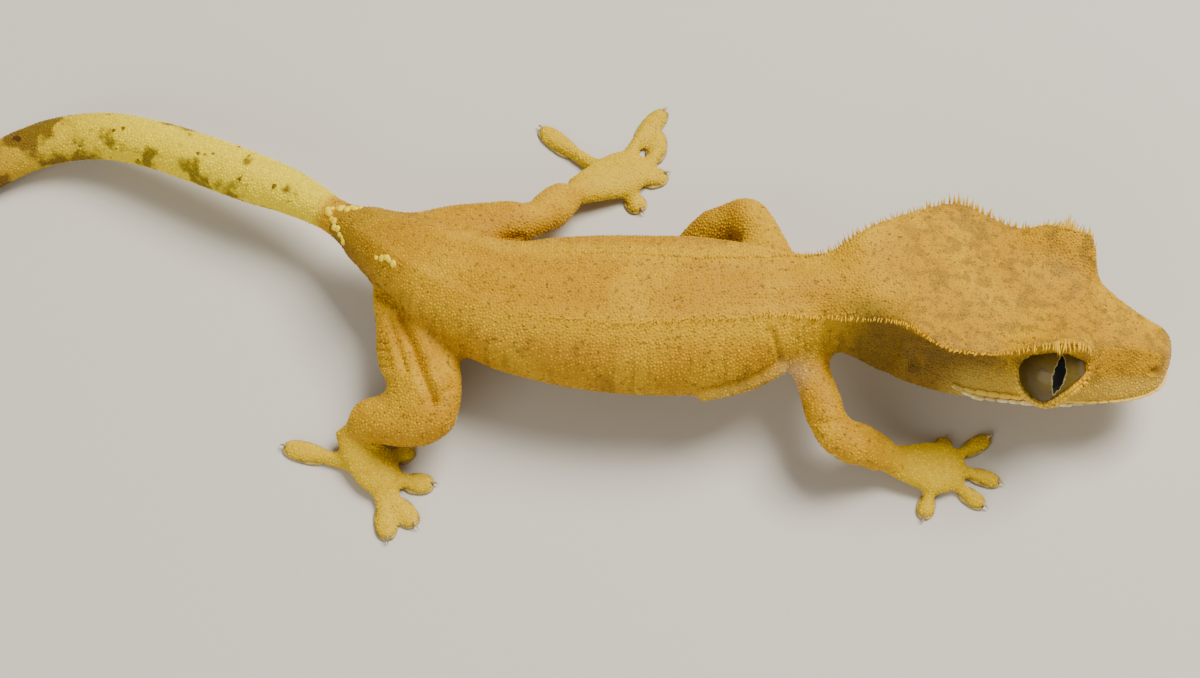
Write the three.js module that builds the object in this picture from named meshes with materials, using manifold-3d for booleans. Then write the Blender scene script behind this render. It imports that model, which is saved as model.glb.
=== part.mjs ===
// Crested gecko, a life-size still model that stands on its four feet and its tail tip.
// Millimetres. +Z is up, +X runs towards the snout and +Y to the animal's left.
// Places are given on a floor at z = 0, and the whole figure is shifted at the end
// so that the origin is at the middle of its footprint.
import * as THREE from "three";
import { mergeVertices } from "three/addons/utils/BufferGeometryUtils.js";
import Module from "manifold-3d";

const wasm = await Module();
wasm.setup();

// Clearances
const GAP = 0.3;
const GROW = 0.36;
const SLIVER = 0.02;

// Where the footprint's middle lies on the floor of the pose
const MIDDLE = [-11.68, 8.69];

// The head's own frame: forward, left and up from a point between the crest peaks
const HEAD_AT = new THREE.Vector3(36.26, 4.81, 12.0);
const HEAD_YAW = -12.98;
const HEAD_PITCH = 5.73;
const HEAD_ROLL = -12;

// Eyes, in the head's frame
const EYE_AT = [16.3, 6.65, 0.7];
const EYE_RADIUS = 3.95;
const LID_RADIUS = 4.05;
const LID_THICKNESS = 0.62;
const LID_SHIFT = [0.15, 1.5, 0.85];
const LID_TURN = 0.09;
const LID_TILT = 0.52;

// Mouth line: stations forward along the head, with how far down each side it lies
const MOUTH_STATIONS = [6.6, 8.6, 11, 15, 19, 23, 26.5, 28.6, 29.7];
const MOUTH_RING = [3.86, 3.98, 4.05, 4.07, 4.06, 4.03, 4.0, 4.0, 4.0];
const MOUTH_FRONT = [30.35, 0, -1.5];
const LIP_RADIUS = 0.62;
const LIP_STAND = 0.5;
const LIP_DROOP = -0.15;
const SNOUT_START = 26;
const SNOUT_END = 30;
const MOUTH_RADIUS = 0.26;

// Nostrils and ear cups, in the head's frame
const NOSTRIL_AT = [28.0, 3.25, 0.85];
const NOSTRIL_RADIUS = 0.5;
const EAR_AT = [1.2, 10.2, -1.2];
const EAR_SIZE = [0.75, 1.0, 1.5];

// Trunk from the tail root to the neck: centre, half width, height above the centre,
// depth below it, and how far the crest rows stand from the midline
const TRUNK = [
  [[-30.6, 16.9, 8.0], 2.6, 2.4, 2.6, 1.0],
  [[-27.4, 14.8, 8.5], 3.9, 3.3, 3.5, 1.6],
  [[-23.7, 12.2, 9.0], 5.3, 4.2, 4.4, 2.4],
  [[-17.6, 8.0, 9.7], 6.7, 5.0, 5.0, 3.2],
  [[-11.6, 4.9, 10.2], 8.0, 5.6, 5.4, 3.8],
  [[-5.8, 3.8, 10.5], 9.1, 6.2, 5.8, 4.2],
  [[0, 3.2, 10.7], 9.8, 6.5, 6.0, 4.4],
  [[5.8, 2.8, 10.9], 10.0, 6.6, 6.1, 4.3],
  [[11.5, 2.7, 11.1], 9.8, 6.5, 6.1, 3.9],
  [[16.1, 2.9, 11.4], 8.9, 6.1, 6.0, 3.8],
  [[20.7, 3.3, 11.8], 7.2, 5.7, 5.9, 3.8],
  [[26.4, 3.75, 12.2], 5.7, 5.3, 5.7, 4.2],
];

// Where the neck is parted from the torso and from the head, past a named trunk section
const NECK_CUT = [10, 2.6];
const HEAD_CUT = [12, 3.2];

// Nape: the section where the neck widens into the head, as half outline points
const NAPE_AT = [31.5, 4.2, 12.4];
const NAPE = [[0, 5.6], [3.6, 5.5], [6.2, 5.7], [6.4, 2.6], [7.5, -2.2], [6.3, -5.6], [0, -6.6]];

// Head sections: station, then half outline as top, crown, crest, temple, lip, jowl, bottom
const HEAD = [
  [0, [0, 5.25], [5.8, 5.2], [9.8, 5.1], [8.9, 2.5], [10.1, -2.2], [8.1, -5.1], [0, -5.9]],
  [3, [0, 5.25], [6.0, 5.1], [11.3, 5.1], [9.2, 2.5], [10.4, -2.5], [8.3, -5.1], [0, -5.8]],
  [6.5, [0, 5.2], [5.7, 5.0], [10.8, 4.65], [9.0, 2.4], [10.4, -2.7], [8.2, -5.0], [0, -5.7]],
  [10, [0, 5.1], [5.3, 5.0], [9.9, 4.9], [8.6, 2.4], [10.0, -2.8], [7.7, -4.8], [0, -5.4]],
  [13, [0, 5.0], [5.2, 5.4], [9.6, 7.0], [7.5, 3.0], [9.3, -2.8], [7.1, -4.7], [0, -5.2]],
  [16, [0, 4.9], [5.0, 5.7], [9.0, 8.0], [6.9, 3.2], [8.7, -2.8], [6.6, -4.5], [0, -5.0]],
  [18.5, [0, 4.7], [4.8, 5.4], [8.3, 7.5], [6.7, 3.0], [8.2, -2.7], [6.2, -4.3], [0, -4.8]],
  [20.2, [0, 4.3], [4.1, 4.3], [5.8, 4.2], [7.1, 1.7], [7.9, -2.6], [5.8, -4.2], [0, -4.7]],
  [22, [0, 4.0], [3.5, 3.9], [4.6, 3.5], [6.3, 1.0], [7.3, -2.5], [5.4, -3.9], [0, -4.4]],
  [24.5, [0, 3.6], [2.6, 3.5], [3.4, 3.0], [5.0, 0.8], [6.5, -2.3], [4.7, -3.6], [0, -4.1]],
  [27, [0, 3.0], [2.1, 2.9], [2.7, 2.4], [4.1, 0.5], [5.5, -2.0], [3.9, -3.2], [0, -3.6]],
  [29, [0, 2.4], [1.6, 2.3], [2.3, 1.8], [3.3, 0.2], [4.1, -1.6], [2.8, -2.7], [0, -3.0]],
  [29.9, [0, 1.5], [1.1, 1.4], [1.6, 1.0], [2.4, -0.2], [2.8, -1.4], [2.0, -2.3], [0, -2.5]],
  [30.3, [0, 0.3], [0.4, 0.2], [0.8, 0], [1.0, -0.5], [1.2, -1.4], [0.8, -1.9], [0, -2.0]],
];

// Tail from its pinched base to the tip: centre, half width, height above, depth below
const TAIL = [
  [[-30.6, 16.9, 8.0], 2.6, 2.4, 2.6],
  [[-33.5, 19.0, 7.8], 2.4, 2.3, 2.4],
  [[-37.0, 21.2, 7.6], 2.8, 2.6, 2.6],
  [[-42.6, 23.8, 7.2], 3.2, 3.0, 2.9],
  [[-49.0, 26.8, 6.6], 3.2, 3.0, 2.9],
  [[-55.5, 29.6, 5.8], 3.1, 2.9, 2.8],
  [[-62.1, 31.5, 4.7], 3.1, 2.7, 2.7],
  [[-68.5, 31.3, 3.7], 3.0, 2.6, 2.6],
  [[-74.8, 28.8, 2.8], 2.9, 2.4, 2.4],
  [[-80.6, 24.0, 2.2], 2.6, 2.0, 2.2],
  [[-84.6, 17.4, 1.9], 2.2, 1.8, 2.0],
  [[-87.2, 10.8, 1.6], 2.0, 1.5, 1.8],
  [[-87.6, 4.0, 1.3], 1.9, 1.2, 1.5],
  [[-85.8, -2.0, 1.0], 1.8, 0.9, 1.2],
  [[-83.6, -5.4, 0.8], 1.2, 0.7, 0.9],
  [[-82.8, -6.4, 0.7], 0.5, 0.35, 0.75],
];
const TAIL_CUTS = [33, 66];

// Legs: upper and lower lengths, each a row of centre, half width and half height
const LEGS = {
  thigh_right: [
    [[-23.6, 8.8, 6.8], 3.8, 2.5],
    [[-22.4, 4.1, 6.6], 4.2, 2.6],
    [[-21.2, -1.0, 7.2], 4.6, 2.8],
    [[-19.2, -5.6, 7.8], 4.0, 2.8],
    [[-17.6, -9.0, 7.9], 2.3, 2.0],
  ],
  shank_right: [
    [[-16.4, -8.8, 7.9], 1.9, 1.9],
    [[-18.6, -8.5, 7.2], 3.2, 2.7],
    [[-22.6, -8.0, 5.7], 3.5, 2.8],
    [[-26.5, -7.4, 4.1], 2.8, 2.2],
    [[-29.0, -7.4, 2.8], 2.0, 1.7],
  ],
  thigh_left: [
    [[-22.8, 13.6, 8.8], 3.4, 3.0],
    [[-18.4, 15.4, 8.7], 3.2, 2.8],
    [[-13.4, 16.1, 8.5], 3.0, 2.6],
    [[-9.4, 16.5, 8.3], 2.9, 2.5],
    [[-7.0, 17.2, 8.0], 1.8, 1.7],
  ],
  shank_left: [
    [[-7.6, 15.8, 8.1], 1.6, 1.5],
    [[-7.2, 17.5, 7.6], 2.4, 2.2],
    [[-5.8, 20.1, 6.0], 2.6, 2.1],
    [[-4.6, 22.6, 4.2], 2.4, 1.8],
    [[-3.5, 24.3, 2.9], 2.0, 1.5],
  ],
  upper_arm_right: [
    [[23.0, 0.2, 9.5], 2.6, 2.4],
    [[24.4, -4.2, 8.9], 2.5, 2.2],
    [[25.6, -8.8, 8.3], 2.4, 2.1],
    [[26.2, -11.6, 8.0], 2.2, 2.0],
    [[26.5, -13.2, 7.8], 1.3, 1.2],
  ],
  forearm_right: [
    [[25.0, -12.6, 8.1], 1.2, 1.1],
    [[26.8, -11.8, 7.6], 2.6, 2.1],
    [[29.8, -11.4, 5.8], 2.6, 2.0],
    [[32.4, -11.7, 3.8], 2.3, 1.7],
    [[34.2, -12.0, 2.7], 2.1, 1.4],
  ],
  upper_arm_left: [
    [[20.9, 8.0, 10.9], 3.0, 2.6],
    [[19.4, 12.6, 10.2], 2.8, 2.5],
    [[18.0, 16.0, 9.3], 2.7, 2.4],
    [[16.6, 18.2, 8.6], 2.4, 2.2],
    [[15.6, 19.2, 8.2], 1.4, 1.3],
  ],
  forearm_left: [
    [[17.6, 18.6, 8.3], 1.3, 1.2],
    [[16.0, 17.5, 7.9], 2.5, 2.1],
    [[13.0, 16.2, 6.2], 2.7, 2.1],
    [[10.4, 14.8, 4.2], 2.2, 1.7],
    [[8.8, 13.6, 2.7], 1.8, 1.4],
  ],
};

// Feet: centres of the palm from the ankle on, how wide it is there, and where each toe
// tip lies, with how far the toe bows to its left on the way, and its pads' share of width
const PALM_HEIGHTS = [1.4, 1.5, 1.55, 1.2, 0.7];
const TOE_HEIGHT = 0.62;
const TOE_ROOT_HEIGHT = 1.0;
const TOE_SHARES = [0, 0.35, 0.6, 0.78, 0.92, 1];
const TOE_WIDTHS = [1.7, 1.15, 1.05, 1.35, 1.2, 0.65];
const TOE_HEIGHTS = [1.0, 0.95, 0.85, 0.7, 0.62, 0.45];
const CLAW_LENGTH = 1.5;
const CLAW_RADIUS = 0.34;
const FEET = {
  foot_right: {
    palm: [
      [-29.4, -7.4, 2.6],
      [-28.2, -9.6, 1.9],
      [-26.2, -12.2, 1.3],
      [-24.7, -14.4, 1.1],
      [-24.0, -15.5, 0.8],
    ],
    wide: [1.8, 2.3, 2.8, 2.1, 1.0],
    pads: 0.98,
    tips: [
      [-37.0, -9.1, 0],
      [-24.3, -20.8, 0.2],
      [-21.2, -19.1, -0.2],
      [-19.3, -13.9, -0.5],
      [-21.9, -9.2, 0],
    ],
  },
  foot_left: {
    palm: [
      [-3.3, 24.5, 2.6],
      [-0.8, 26.0, 2.0],
      [2.2, 27.8, 1.3],
      [4.5, 29.3, 1.1],
      [5.7, 30.1, 0.8],
    ],
    wide: [1.9, 2.6, 3.3, 2.8, 1.5],
    pads: 1,
    tips: [
      [-7.5, 35.6, 0.4],
      [8.3, 38.3, 0.5],
      [7.1, 35.4, -2.2],
      [8.4, 28.7, -0.6],
      [5.2, 23.2, 0],
    ],
  },
  hand_right: {
    palm: [
      [34.0, -12.0, 2.4],
      [36.2, -12.2, 1.9],
      [38.9, -12.3, 1.3],
      [41.2, -11.9, 1.1],
      [42.4, -11.7, 0.8],
    ],
    wide: [2.0, 2.7, 3.3, 2.7, 1.5],
    pads: 0.78,
    tips: [
      [40.6, -8.0, 0],
      [45.7, -7.9, 0],
      [46.4, -13.8, 0.5],
      [44.3, -16.7, 0],
      [37.2, -18.2, 0],
    ],
  },
  hand_left: {
    palm: [
      [8.5, 13.2, 2.3],
      [7.6, 11.4, 1.8],
      [6.3, 9.1, 1.3],
      [5.2, 7.2, 1.1],
      [4.7, 6.2, 0.8],
    ],
    wide: [1.8, 2.5, 3.1, 2.6, 1.4],
    pads: 0.78,
    tips: [
      [0.6, 12.6, 0],
      [0.0, 8.0, 0],
      [3.2, 3.4, 0],
      [7.8, 3.6, 0],
      [11.8, 7.4, 0],
    ],
  },
};

// Spines: each row stands on the crest edge, from the brow over the head, the nape and
// the shoulders to the middle of the back. Lengths are at the start, peak and end of a row.
const SPINE_SIDES = 4;
const SPINE_SINK = 0.6;
const SPINE_SEED = 41;
const SPINE_SWAY = 0.2;
const SPINE_VARIES = 0.18;
const CREST_RING = 2.08;
const SPINE_ROWS = {
  lash: { pitch: 1.02, radius: 0.42, lengths: [0.9, 2.1, 1.0], peak: 0.66, lean: [0.12, 0.9, 0.42] },
  crest: { pitch: 0.98, radius: 0.46, lengths: [1.0, 1.5, 0.9], peak: 0.4, lean: [-0.22, 0.72, 0.66] },
  nape: { pitch: 0.98, radius: 0.42, lengths: [0.75, 0.8, 0.95], peak: 0.5, lean: [-0.25, 0.55, 0.8] },
  back: { pitch: 0.98, radius: 0.38, lengths: [0.35, 0.55, 0.7], peak: 0.5, lean: [-0.3, 0.45, 0.84] },
};
const LASH_STATIONS = [11.3, 19.5];
const CREST_STATIONS = [-0.9, 10.6];
const BACK_START = -7;
const ROW_MARGIN = 0.8;

// Fold of loose skin low on the right flank, in front of which the arm comes out
const FOLD = [
  [11.8, -4.9, 8.5],
  [13.6, -5.2, 8.4],
  [16.2, -5.3, 8.3],
  [18.6, -4.9, 8.4],
  [20.6, -4.1, 8.8],
];
const FOLD_WIDTH = 1.15;
const FOLD_FLATNESS = 0.75;

// How finely the forms are stepped along and round
const STEPS = { space: 70, head: 30, torso: 28, neck: 9, tail: 12, limb: 10, palm: 6, toe: 7, fold: 8 };
const RING_POINTS = 12;
const LIMB_SIDES = 12;
const TAIL_SIDES = 8;
const TOE_SIDES = 8;
const FLOOR_BLOCK = [300, 300, 20];

const UP = new THREE.Vector3(0, 0, 1);

// Cubic curve through rows of numbers at the given keys. The slope at each inner key is
// the mean of the slopes on its two sides, each weighted by the span on the other side.
function smooth(keys, rows, t) {
  const last = keys.length - 1;
  let i = 0;
  while (i < last - 1 && t >= keys[i + 1]) i += 1;
  const span = (a) => keys[a + 1] - keys[a];
  const slope = (a, n) => (rows[a + 1][n] - rows[a][n]) / span(a);
  const bend = (a, n) => {
    if (a === 0) return slope(0, n);
    if (a === last) return slope(last - 1, n);
    return (slope(a, n) * span(a - 1) + slope(a - 1, n) * span(a)) / (span(a - 1) + span(a));
  };
  const s = (t - keys[i]) / span(i);
  return rows[i].map((value, n) => {
    const rise = (s ** 3 - 2 * s ** 2 + s) * bend(i, n) + (s ** 3 - s ** 2) * bend(i + 1, n);
    return value + (3 * s ** 2 - 2 * s ** 3) * (rows[i + 1][n] - value) + rise * span(i);
  });
}

// Half outline from the top point to the bottom point, made whole by its mirror image
function mirrored(half) {
  const back = half.slice(1, -1).reverse();
  return [...half, ...back.map(([left, up]) => [-left, up])];
}

// Points of an oval, starting at its top, with its own height above and depth below
function oval(wide, high, deep, sides) {
  return Array.from({ length: sides }, (_, n) => {
    const turn = (2 * Math.PI * n) / sides;
    const rise = Math.cos(turn);
    return [wide * Math.sin(turn), (rise > 0 ? high : deep) * rise];
  });
}

// Half outline of the trunk: a rounded back with a low crest edge, sides widest at the
// middle, and a belly a little flatter than an oval
function trunkHalf(wide, high, deep, crest) {
  const shoulder = high * Math.sqrt(1 - (crest / wide) ** 2) + 0.25;
  const crown = high * Math.sqrt(1 - ((0.55 * crest) / wide) ** 2) - 0.02 * high;
  return [
    [0, high],
    [0.55 * crest, crown],
    [crest, shoulder],
    [0.84 * wide, 0.52 * high],
    [wide, -0.08 * high],
    [0.74 * wide, -0.7 * deep],
    [0, -deep],
  ];
}

// Closed surface carried along a line of centres. Each station holds a centre, a frame of
// forward, left and up, and a ring of outline points given as left and up from the centre.
class Form {
  constructor(stations) {
    this.stations = stations;
    this.keys = [0];
    for (let i = 1; i < stations.length; i += 1) {
      const step = stations[i].at.distanceTo(stations[i - 1].at);
      this.keys.push(this.keys[i - 1] + step);
    }
    this.rows = stations.map(({ at, left, up, ring }) =>
      ring.flatMap(([l, u]) => at.clone().addScaledVector(left, l).addScaledVector(up, u).toArray()),
    );
    this.lefts = stations.map(({ left }) => left.toArray());
    this.ups = stations.map(({ up }) => up.toArray());
  }

  get end() {
    return this.keys[this.keys.length - 1];
  }

  // Same form with every outline point moved outwards
  grown(by) {
    return new Form(
      this.stations.map((station) => ({
        ...station,
        ring: station.ring.map(([l, u]) => {
          const reach = Math.hypot(l, u);
          return [(l * (reach + by)) / reach, (u * (reach + by)) / reach];
        }),
      })),
    );
  }

  // Outline points at a place along the form, with extra points between them on a curve
  ring(t, fill) {
    const flat = smooth(this.keys, this.rows, t);
    const count = flat.length / 3;
    const knot = (n) => new THREE.Vector3().fromArray(flat, 3 * ((n + count) % count));
    const out = [];
    for (let n = 0; n < count; n += 1) {
      for (let m = 0; m < fill; m += 1) {
        out.push(bendBetween(knot(n - 1), knot(n), knot(n + 1), knot(n + 2), m / fill));
      }
    }
    return out;
  }

  // One point on the surface: t along the form, v counted in outline points from the top
  point(t, v) {
    const flat = smooth(this.keys, this.rows, t);
    const count = flat.length / 3;
    const low = Math.floor(v);
    const knot = (n) => new THREE.Vector3().fromArray(flat, 3 * ((n + 2 * count) % count));
    return bendBetween(knot(low - 1), knot(low), knot(low + 1), knot(low + 2), v - low);
  }

  // A direction at t, given as parts forward, left and up
  toward(t, forward, left, up) {
    const side = new THREE.Vector3().fromArray(smooth(this.keys, this.lefts, t)).normalize();
    const rise = new THREE.Vector3().fromArray(smooth(this.keys, this.ups, t)).normalize();
    const ahead = new THREE.Vector3().crossVectors(side, rise);
    return ahead
      .multiplyScalar(forward)
      .addScaledVector(side, left)
      .addScaledVector(rise, up)
      .normalize();
  }

  // Closed mesh between two places along the form
  mesh(from, to, steps, fill) {
    const points = [];
    const faces = [];
    let around = 0;
    for (let i = 0; i <= steps; i += 1) {
      const ring = this.ring(from + ((to - from) * i) / steps, fill);
      around = ring.length;
      ring.forEach((point) => points.push(...point.toArray()));
    }
    for (let i = 0; i < steps; i += 1) {
      for (let n = 0; n < around; n += 1) {
        const a = i * around + n;
        const b = i * around + ((n + 1) % around);
        faces.push(a, a + around, b, b, a + around, b + around);
      }
    }
    [0, steps].forEach((i) => {
      const centre = new THREE.Vector3();
      for (let n = 0; n < around; n += 1) {
        centre.add(new THREE.Vector3().fromArray(points, 3 * (i * around + n)));
      }
      const hub = points.length / 3;
      points.push(...centre.divideScalar(around).toArray());
      for (let n = 0; n < around; n += 1) {
        const a = i * around + n;
        const b = i * around + ((n + 1) % around);
        faces.push(...(i === 0 ? [hub, a, b] : [hub, b, a]));
      }
    });
    return solidFrom(points, faces);
  }
}

// Point between b and c on the cubic that also heeds their neighbours a and d
function bendBetween(a, b, c, d, s) {
  const part = (p, q, r, w) =>
    0.5 * (2 * q + (r - p) * s + (2 * p - 5 * q + 4 * r - w) * s ** 2 + (3 * q - p - 3 * r + w) * s ** 3);
  return new THREE.Vector3(part(a.x, b.x, c.x, d.x), part(a.y, b.y, c.y, d.y), part(a.z, b.z, c.z, d.z));
}

// Stations whose frames follow the line through their centres
function framed(centres, rings, up = UP) {
  const places = centres.map((centre) => new THREE.Vector3(...centre));
  return places.map((at, i) => {
    const before = places[Math.max(0, i - 1)];
    const after = places[Math.min(places.length - 1, i + 1)];
    const ahead = after.clone().sub(before).normalize();
    const left = new THREE.Vector3().crossVectors(up, ahead).normalize();
    return { at, left, up: new THREE.Vector3().crossVectors(ahead, left), ring: rings[i] };
  });
}

// Manifold solid of a point list and a face list, turned so that its faces point out
function solidFrom(points, faces) {
  const numbers = new Float32Array(points);
  let volume = 0;
  for (let i = 0; i < faces.length; i += 3) {
    const [a, b, c] = [0, 1, 2].map((n) => new THREE.Vector3().fromArray(numbers, 3 * faces[i + n]));
    volume += a.dot(b.cross(c));
  }
  const turned = volume > 0 ? faces : faces.slice().reverse();
  const mesh = new wasm.Mesh({ numProp: 3, vertProperties: numbers, triVerts: new Uint32Array(turned) });
  return new wasm.Manifold(mesh);
}

// Manifold solid of a closed three.js geometry
function solidOf(geometry) {
  const bare = geometry.clone();
  bare.deleteAttribute("normal");
  bare.deleteAttribute("uv");
  const merged = mergeVertices(bare, 1e-4);
  return solidFrom(Array.from(merged.attributes.position.array), Array.from(merged.index.array));
}

// Largest closed surface of a solid, with its slivers gathered up
function whole(solid) {
  const parts = solid.simplify(SLIVER).decompose();
  return parts.reduce((best, part) => (part.volume() > best.volume() ? part : best));
}

function geometryOf(solid) {
  const mesh = solid.getMesh();
  const geometry = new THREE.BufferGeometry();
  geometry.setAttribute("position", new THREE.BufferAttribute(mesh.vertProperties, 3));
  geometry.setIndex(new THREE.BufferAttribute(mesh.triVerts, 1));
  geometry.computeVertexNormals();
  return geometry;
}

function together(solids) {
  return solids.reduce((all, solid) => all.add(solid));
}

// The head's frame as a matrix, and points given in it
const headMatrix = new THREE.Matrix4()
  .makeRotationFromEuler(
    new THREE.Euler(
      THREE.MathUtils.degToRad(HEAD_ROLL),
      THREE.MathUtils.degToRad(HEAD_PITCH),
      THREE.MathUtils.degToRad(HEAD_YAW),
      "ZYX",
    ),
  )
  .setPosition(HEAD_AT);

function inHead(forward, left, up) {
  return new THREE.Vector3(forward, left, up).applyMatrix4(headMatrix);
}

// One form runs from the tail root to the snout, so that its parts meet without a step
function bodyForm() {
  const centres = [...TRUNK.map(([at]) => at), NAPE_AT];
  const rings = TRUNK.map(([, wide, high, deep, crest]) => mirrored(trunkHalf(wide, high, deep, crest)));
  rings.push(mirrored(NAPE));
  const left = new THREE.Vector3();
  const up = new THREE.Vector3();
  headMatrix.extractBasis(new THREE.Vector3(), left, up);
  const skull = HEAD.map(([station, ...half]) => ({
    at: inHead(station, 0, 0),
    left,
    up,
    ring: mirrored(half),
  }));
  const trunk = framed([...centres, skull[0].at.toArray()], [...rings, skull[0].ring]);
  return new Form([...trunk.slice(0, -1), ...skull]);
}

const body = bodyForm();
const neckStart = body.keys[NECK_CUT[0]] + NECK_CUT[1];
const headStart = body.keys[HEAD_CUT[0]] + HEAD_CUT[1];
const skullStart = body.keys[TRUNK.length + 1];
const trunkSpace = body.grown(GROW).mesh(0, body.end, STEPS.space, 2);

// Place along the body form of a station in the head's frame
function alongHead(station) {
  return skullStart + station;
}

// Repeatable random numbers between 0 and 1
function seeded(seed) {
  let state = seed;
  return () => {
    state = (state * 1664525 + 1013904223) % 4294967296;
    return state / 4294967296;
  };
}

// Pointed spine whose root is sunk into the surface it grows from
function spine(root, direction, length, radius) {
  const cone = new THREE.ConeGeometry(radius, length + SPINE_SINK, SPINE_SIDES);
  cone.translate(0, (length - SPINE_SINK) / 2, 0);
  cone.applyQuaternion(new THREE.Quaternion().setFromUnitVectors(new THREE.Vector3(0, 1, 0), direction));
  cone.translate(root.x, root.y, root.z);
  return solidOf(cone);
}

// Both rows of spines between two places along the body form
function spineRows({ pitch, radius, lengths, peak, lean }, from, to, seed) {
  const random = seeded(seed);
  const count = Math.round((to - from) / pitch);
  const solids = [];
  for (let i = 0; i <= count; i += 1) {
    const share = i / count;
    const t = from + (to - from) * share;
    const [length] = smooth([0, peak, 1], lengths.map((value) => [value]), share);
    for (const side of [1, -1]) {
      const [forward, left, up] = lean;
      const sway = SPINE_SWAY * (random() - 0.5);
      const direction = body.toward(t, forward + sway, side * left, up);
      const root = body.point(t, side > 0 ? CREST_RING : RING_POINTS - CREST_RING);
      const varied = length * (1 + SPINE_VARIES * (2 * random() - 1));
      solids.push(spine(root, direction, varied, radius));
    }
  }
  return together(solids);
}

// A ball squashed to three radii, in the head's frame
function headBlob(at, radii, detail) {
  const ball = new THREE.IcosahedronGeometry(1, detail);
  ball.scale(...radii);
  ball.translate(...at);
  ball.applyMatrix4(headMatrix);
  return solidOf(ball);
}

// Thin rod of round section along a row of points, drawn in at its two ends
function rod(points, radius, sides) {
  const rings = points.map((_, i) => {
    const size = i === 0 || i === points.length - 1 ? radius * 0.4 : radius;
    return oval(size, size, size, sides);
  });
  const form = new Form(framed(points.map((point) => point.toArray()), rings));
  return form.mesh(0, form.end, points.length, 1);
}

// The mouth line round the head from corner to corner, standing out from the skin by a
// given amount
function mouthLine(stand) {
  const half = (side) =>
    MOUTH_STATIONS.map((station, i) => {
      const t = alongHead(station);
      const point = body.point(t, side > 0 ? MOUTH_RING[i] : RING_POINTS - MOUTH_RING[i]);
      const blunt = Math.max(0, station - SNOUT_START) / (SNOUT_END - SNOUT_START);
      return point.addScaledVector(body.toward(t, blunt, side, LIP_DROOP), stand);
    });
  const [forward, left, up] = MOUTH_FRONT;
  return [...half(1), inHead(forward + stand, left, up), ...half(-1).reverse()];
}

function headSolid() {
  let head = body.mesh(headStart + GAP / 2, body.end, STEPS.head, 2);
  head = head.add(rod(mouthLine(0), LIP_RADIUS, 6)).subtract(rod(mouthLine(LIP_STAND), MOUTH_RADIUS, 5));
  for (const side of [1, -1]) {
    const [forward, left, up] = EYE_AT;
    const lid = new THREE.TorusGeometry(LID_RADIUS, LID_THICKNESS, 5, 18);
    lid.rotateX(Math.PI / 2);
    lid.rotateZ(-side * LID_TURN);
    lid.rotateX(side * LID_TILT);
    lid.translate(forward + LID_SHIFT[0], side * (left + LID_SHIFT[1]), up + LID_SHIFT[2]);
    lid.applyMatrix4(headMatrix);
    head = head.add(solidOf(lid));
    const room = EYE_RADIUS + GROW;
    head = head.subtract(headBlob([forward, side * left, up], [room, room, room], 3));
    const [nose, wide, high] = NOSTRIL_AT;
    const dent = NOSTRIL_RADIUS;
    head = head.subtract(headBlob([nose, side * wide, high], [dent * 1.3, dent, dent], 1));
    const [back, out, low] = EAR_AT;
    head = head.subtract(headBlob([back, side * out, low], EAR_SIZE, 1));
  }
  const lashes = spineRows(SPINE_ROWS.lash, ...LASH_STATIONS.map(alongHead), SPINE_SEED);
  const crests = spineRows(SPINE_ROWS.crest, ...CREST_STATIONS.map(alongHead), SPINE_SEED + 1);
  return head.add(lashes).add(crests);
}

// Torso with its back spines and the fold of skin on its flank
function torsoSolid() {
  const trunk = body.mesh(GAP / 2, neckStart - GAP / 2, STEPS.torso, 2);
  const start = body.keys[5] + (BACK_START - TRUNK[5][0][0]);
  const rings = FOLD.map((_, i) => {
    const size = FOLD_WIDTH * Math.sin((Math.PI * (i + 0.5)) / FOLD.length) ** 0.5;
    return oval(size, size * FOLD_FLATNESS, size * FOLD_FLATNESS, TOE_SIDES);
  });
  const fold = new Form(framed(FOLD, rings));
  const spines = spineRows(SPINE_ROWS.back, start, neckStart - ROW_MARGIN, SPINE_SEED + 2);
  return trunk.add(fold.mesh(0, fold.end, STEPS.fold, 1)).add(spines);
}

function neckSolid() {
  const neck = body.mesh(neckStart + GAP / 2, headStart - GAP / 2, STEPS.neck, 2);
  const ends = [neckStart + ROW_MARGIN, headStart - ROW_MARGIN];
  return neck.add(spineRows(SPINE_ROWS.nape, ...ends, SPINE_SEED + 3));
}

function tailForm() {
  const centres = TAIL.map(([at]) => at);
  const rings = TAIL.map(([, wide, high, deep]) => oval(wide, high, deep, TAIL_SIDES));
  return new Form(framed(centres, rings));
}

// Everything above the floor
function aboveFloor(solid) {
  const block = new THREE.BoxGeometry(...FLOOR_BLOCK);
  block.translate(0, 0, -FLOOR_BLOCK[2] / 2);
  return solid.subtract(solidOf(block));
}

function legForm(rows) {
  const centres = rows.map(([at]) => at);
  return new Form(framed(centres, rows.map(([, wide, high]) => oval(wide, high, high, LIMB_SIDES))));
}

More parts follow.
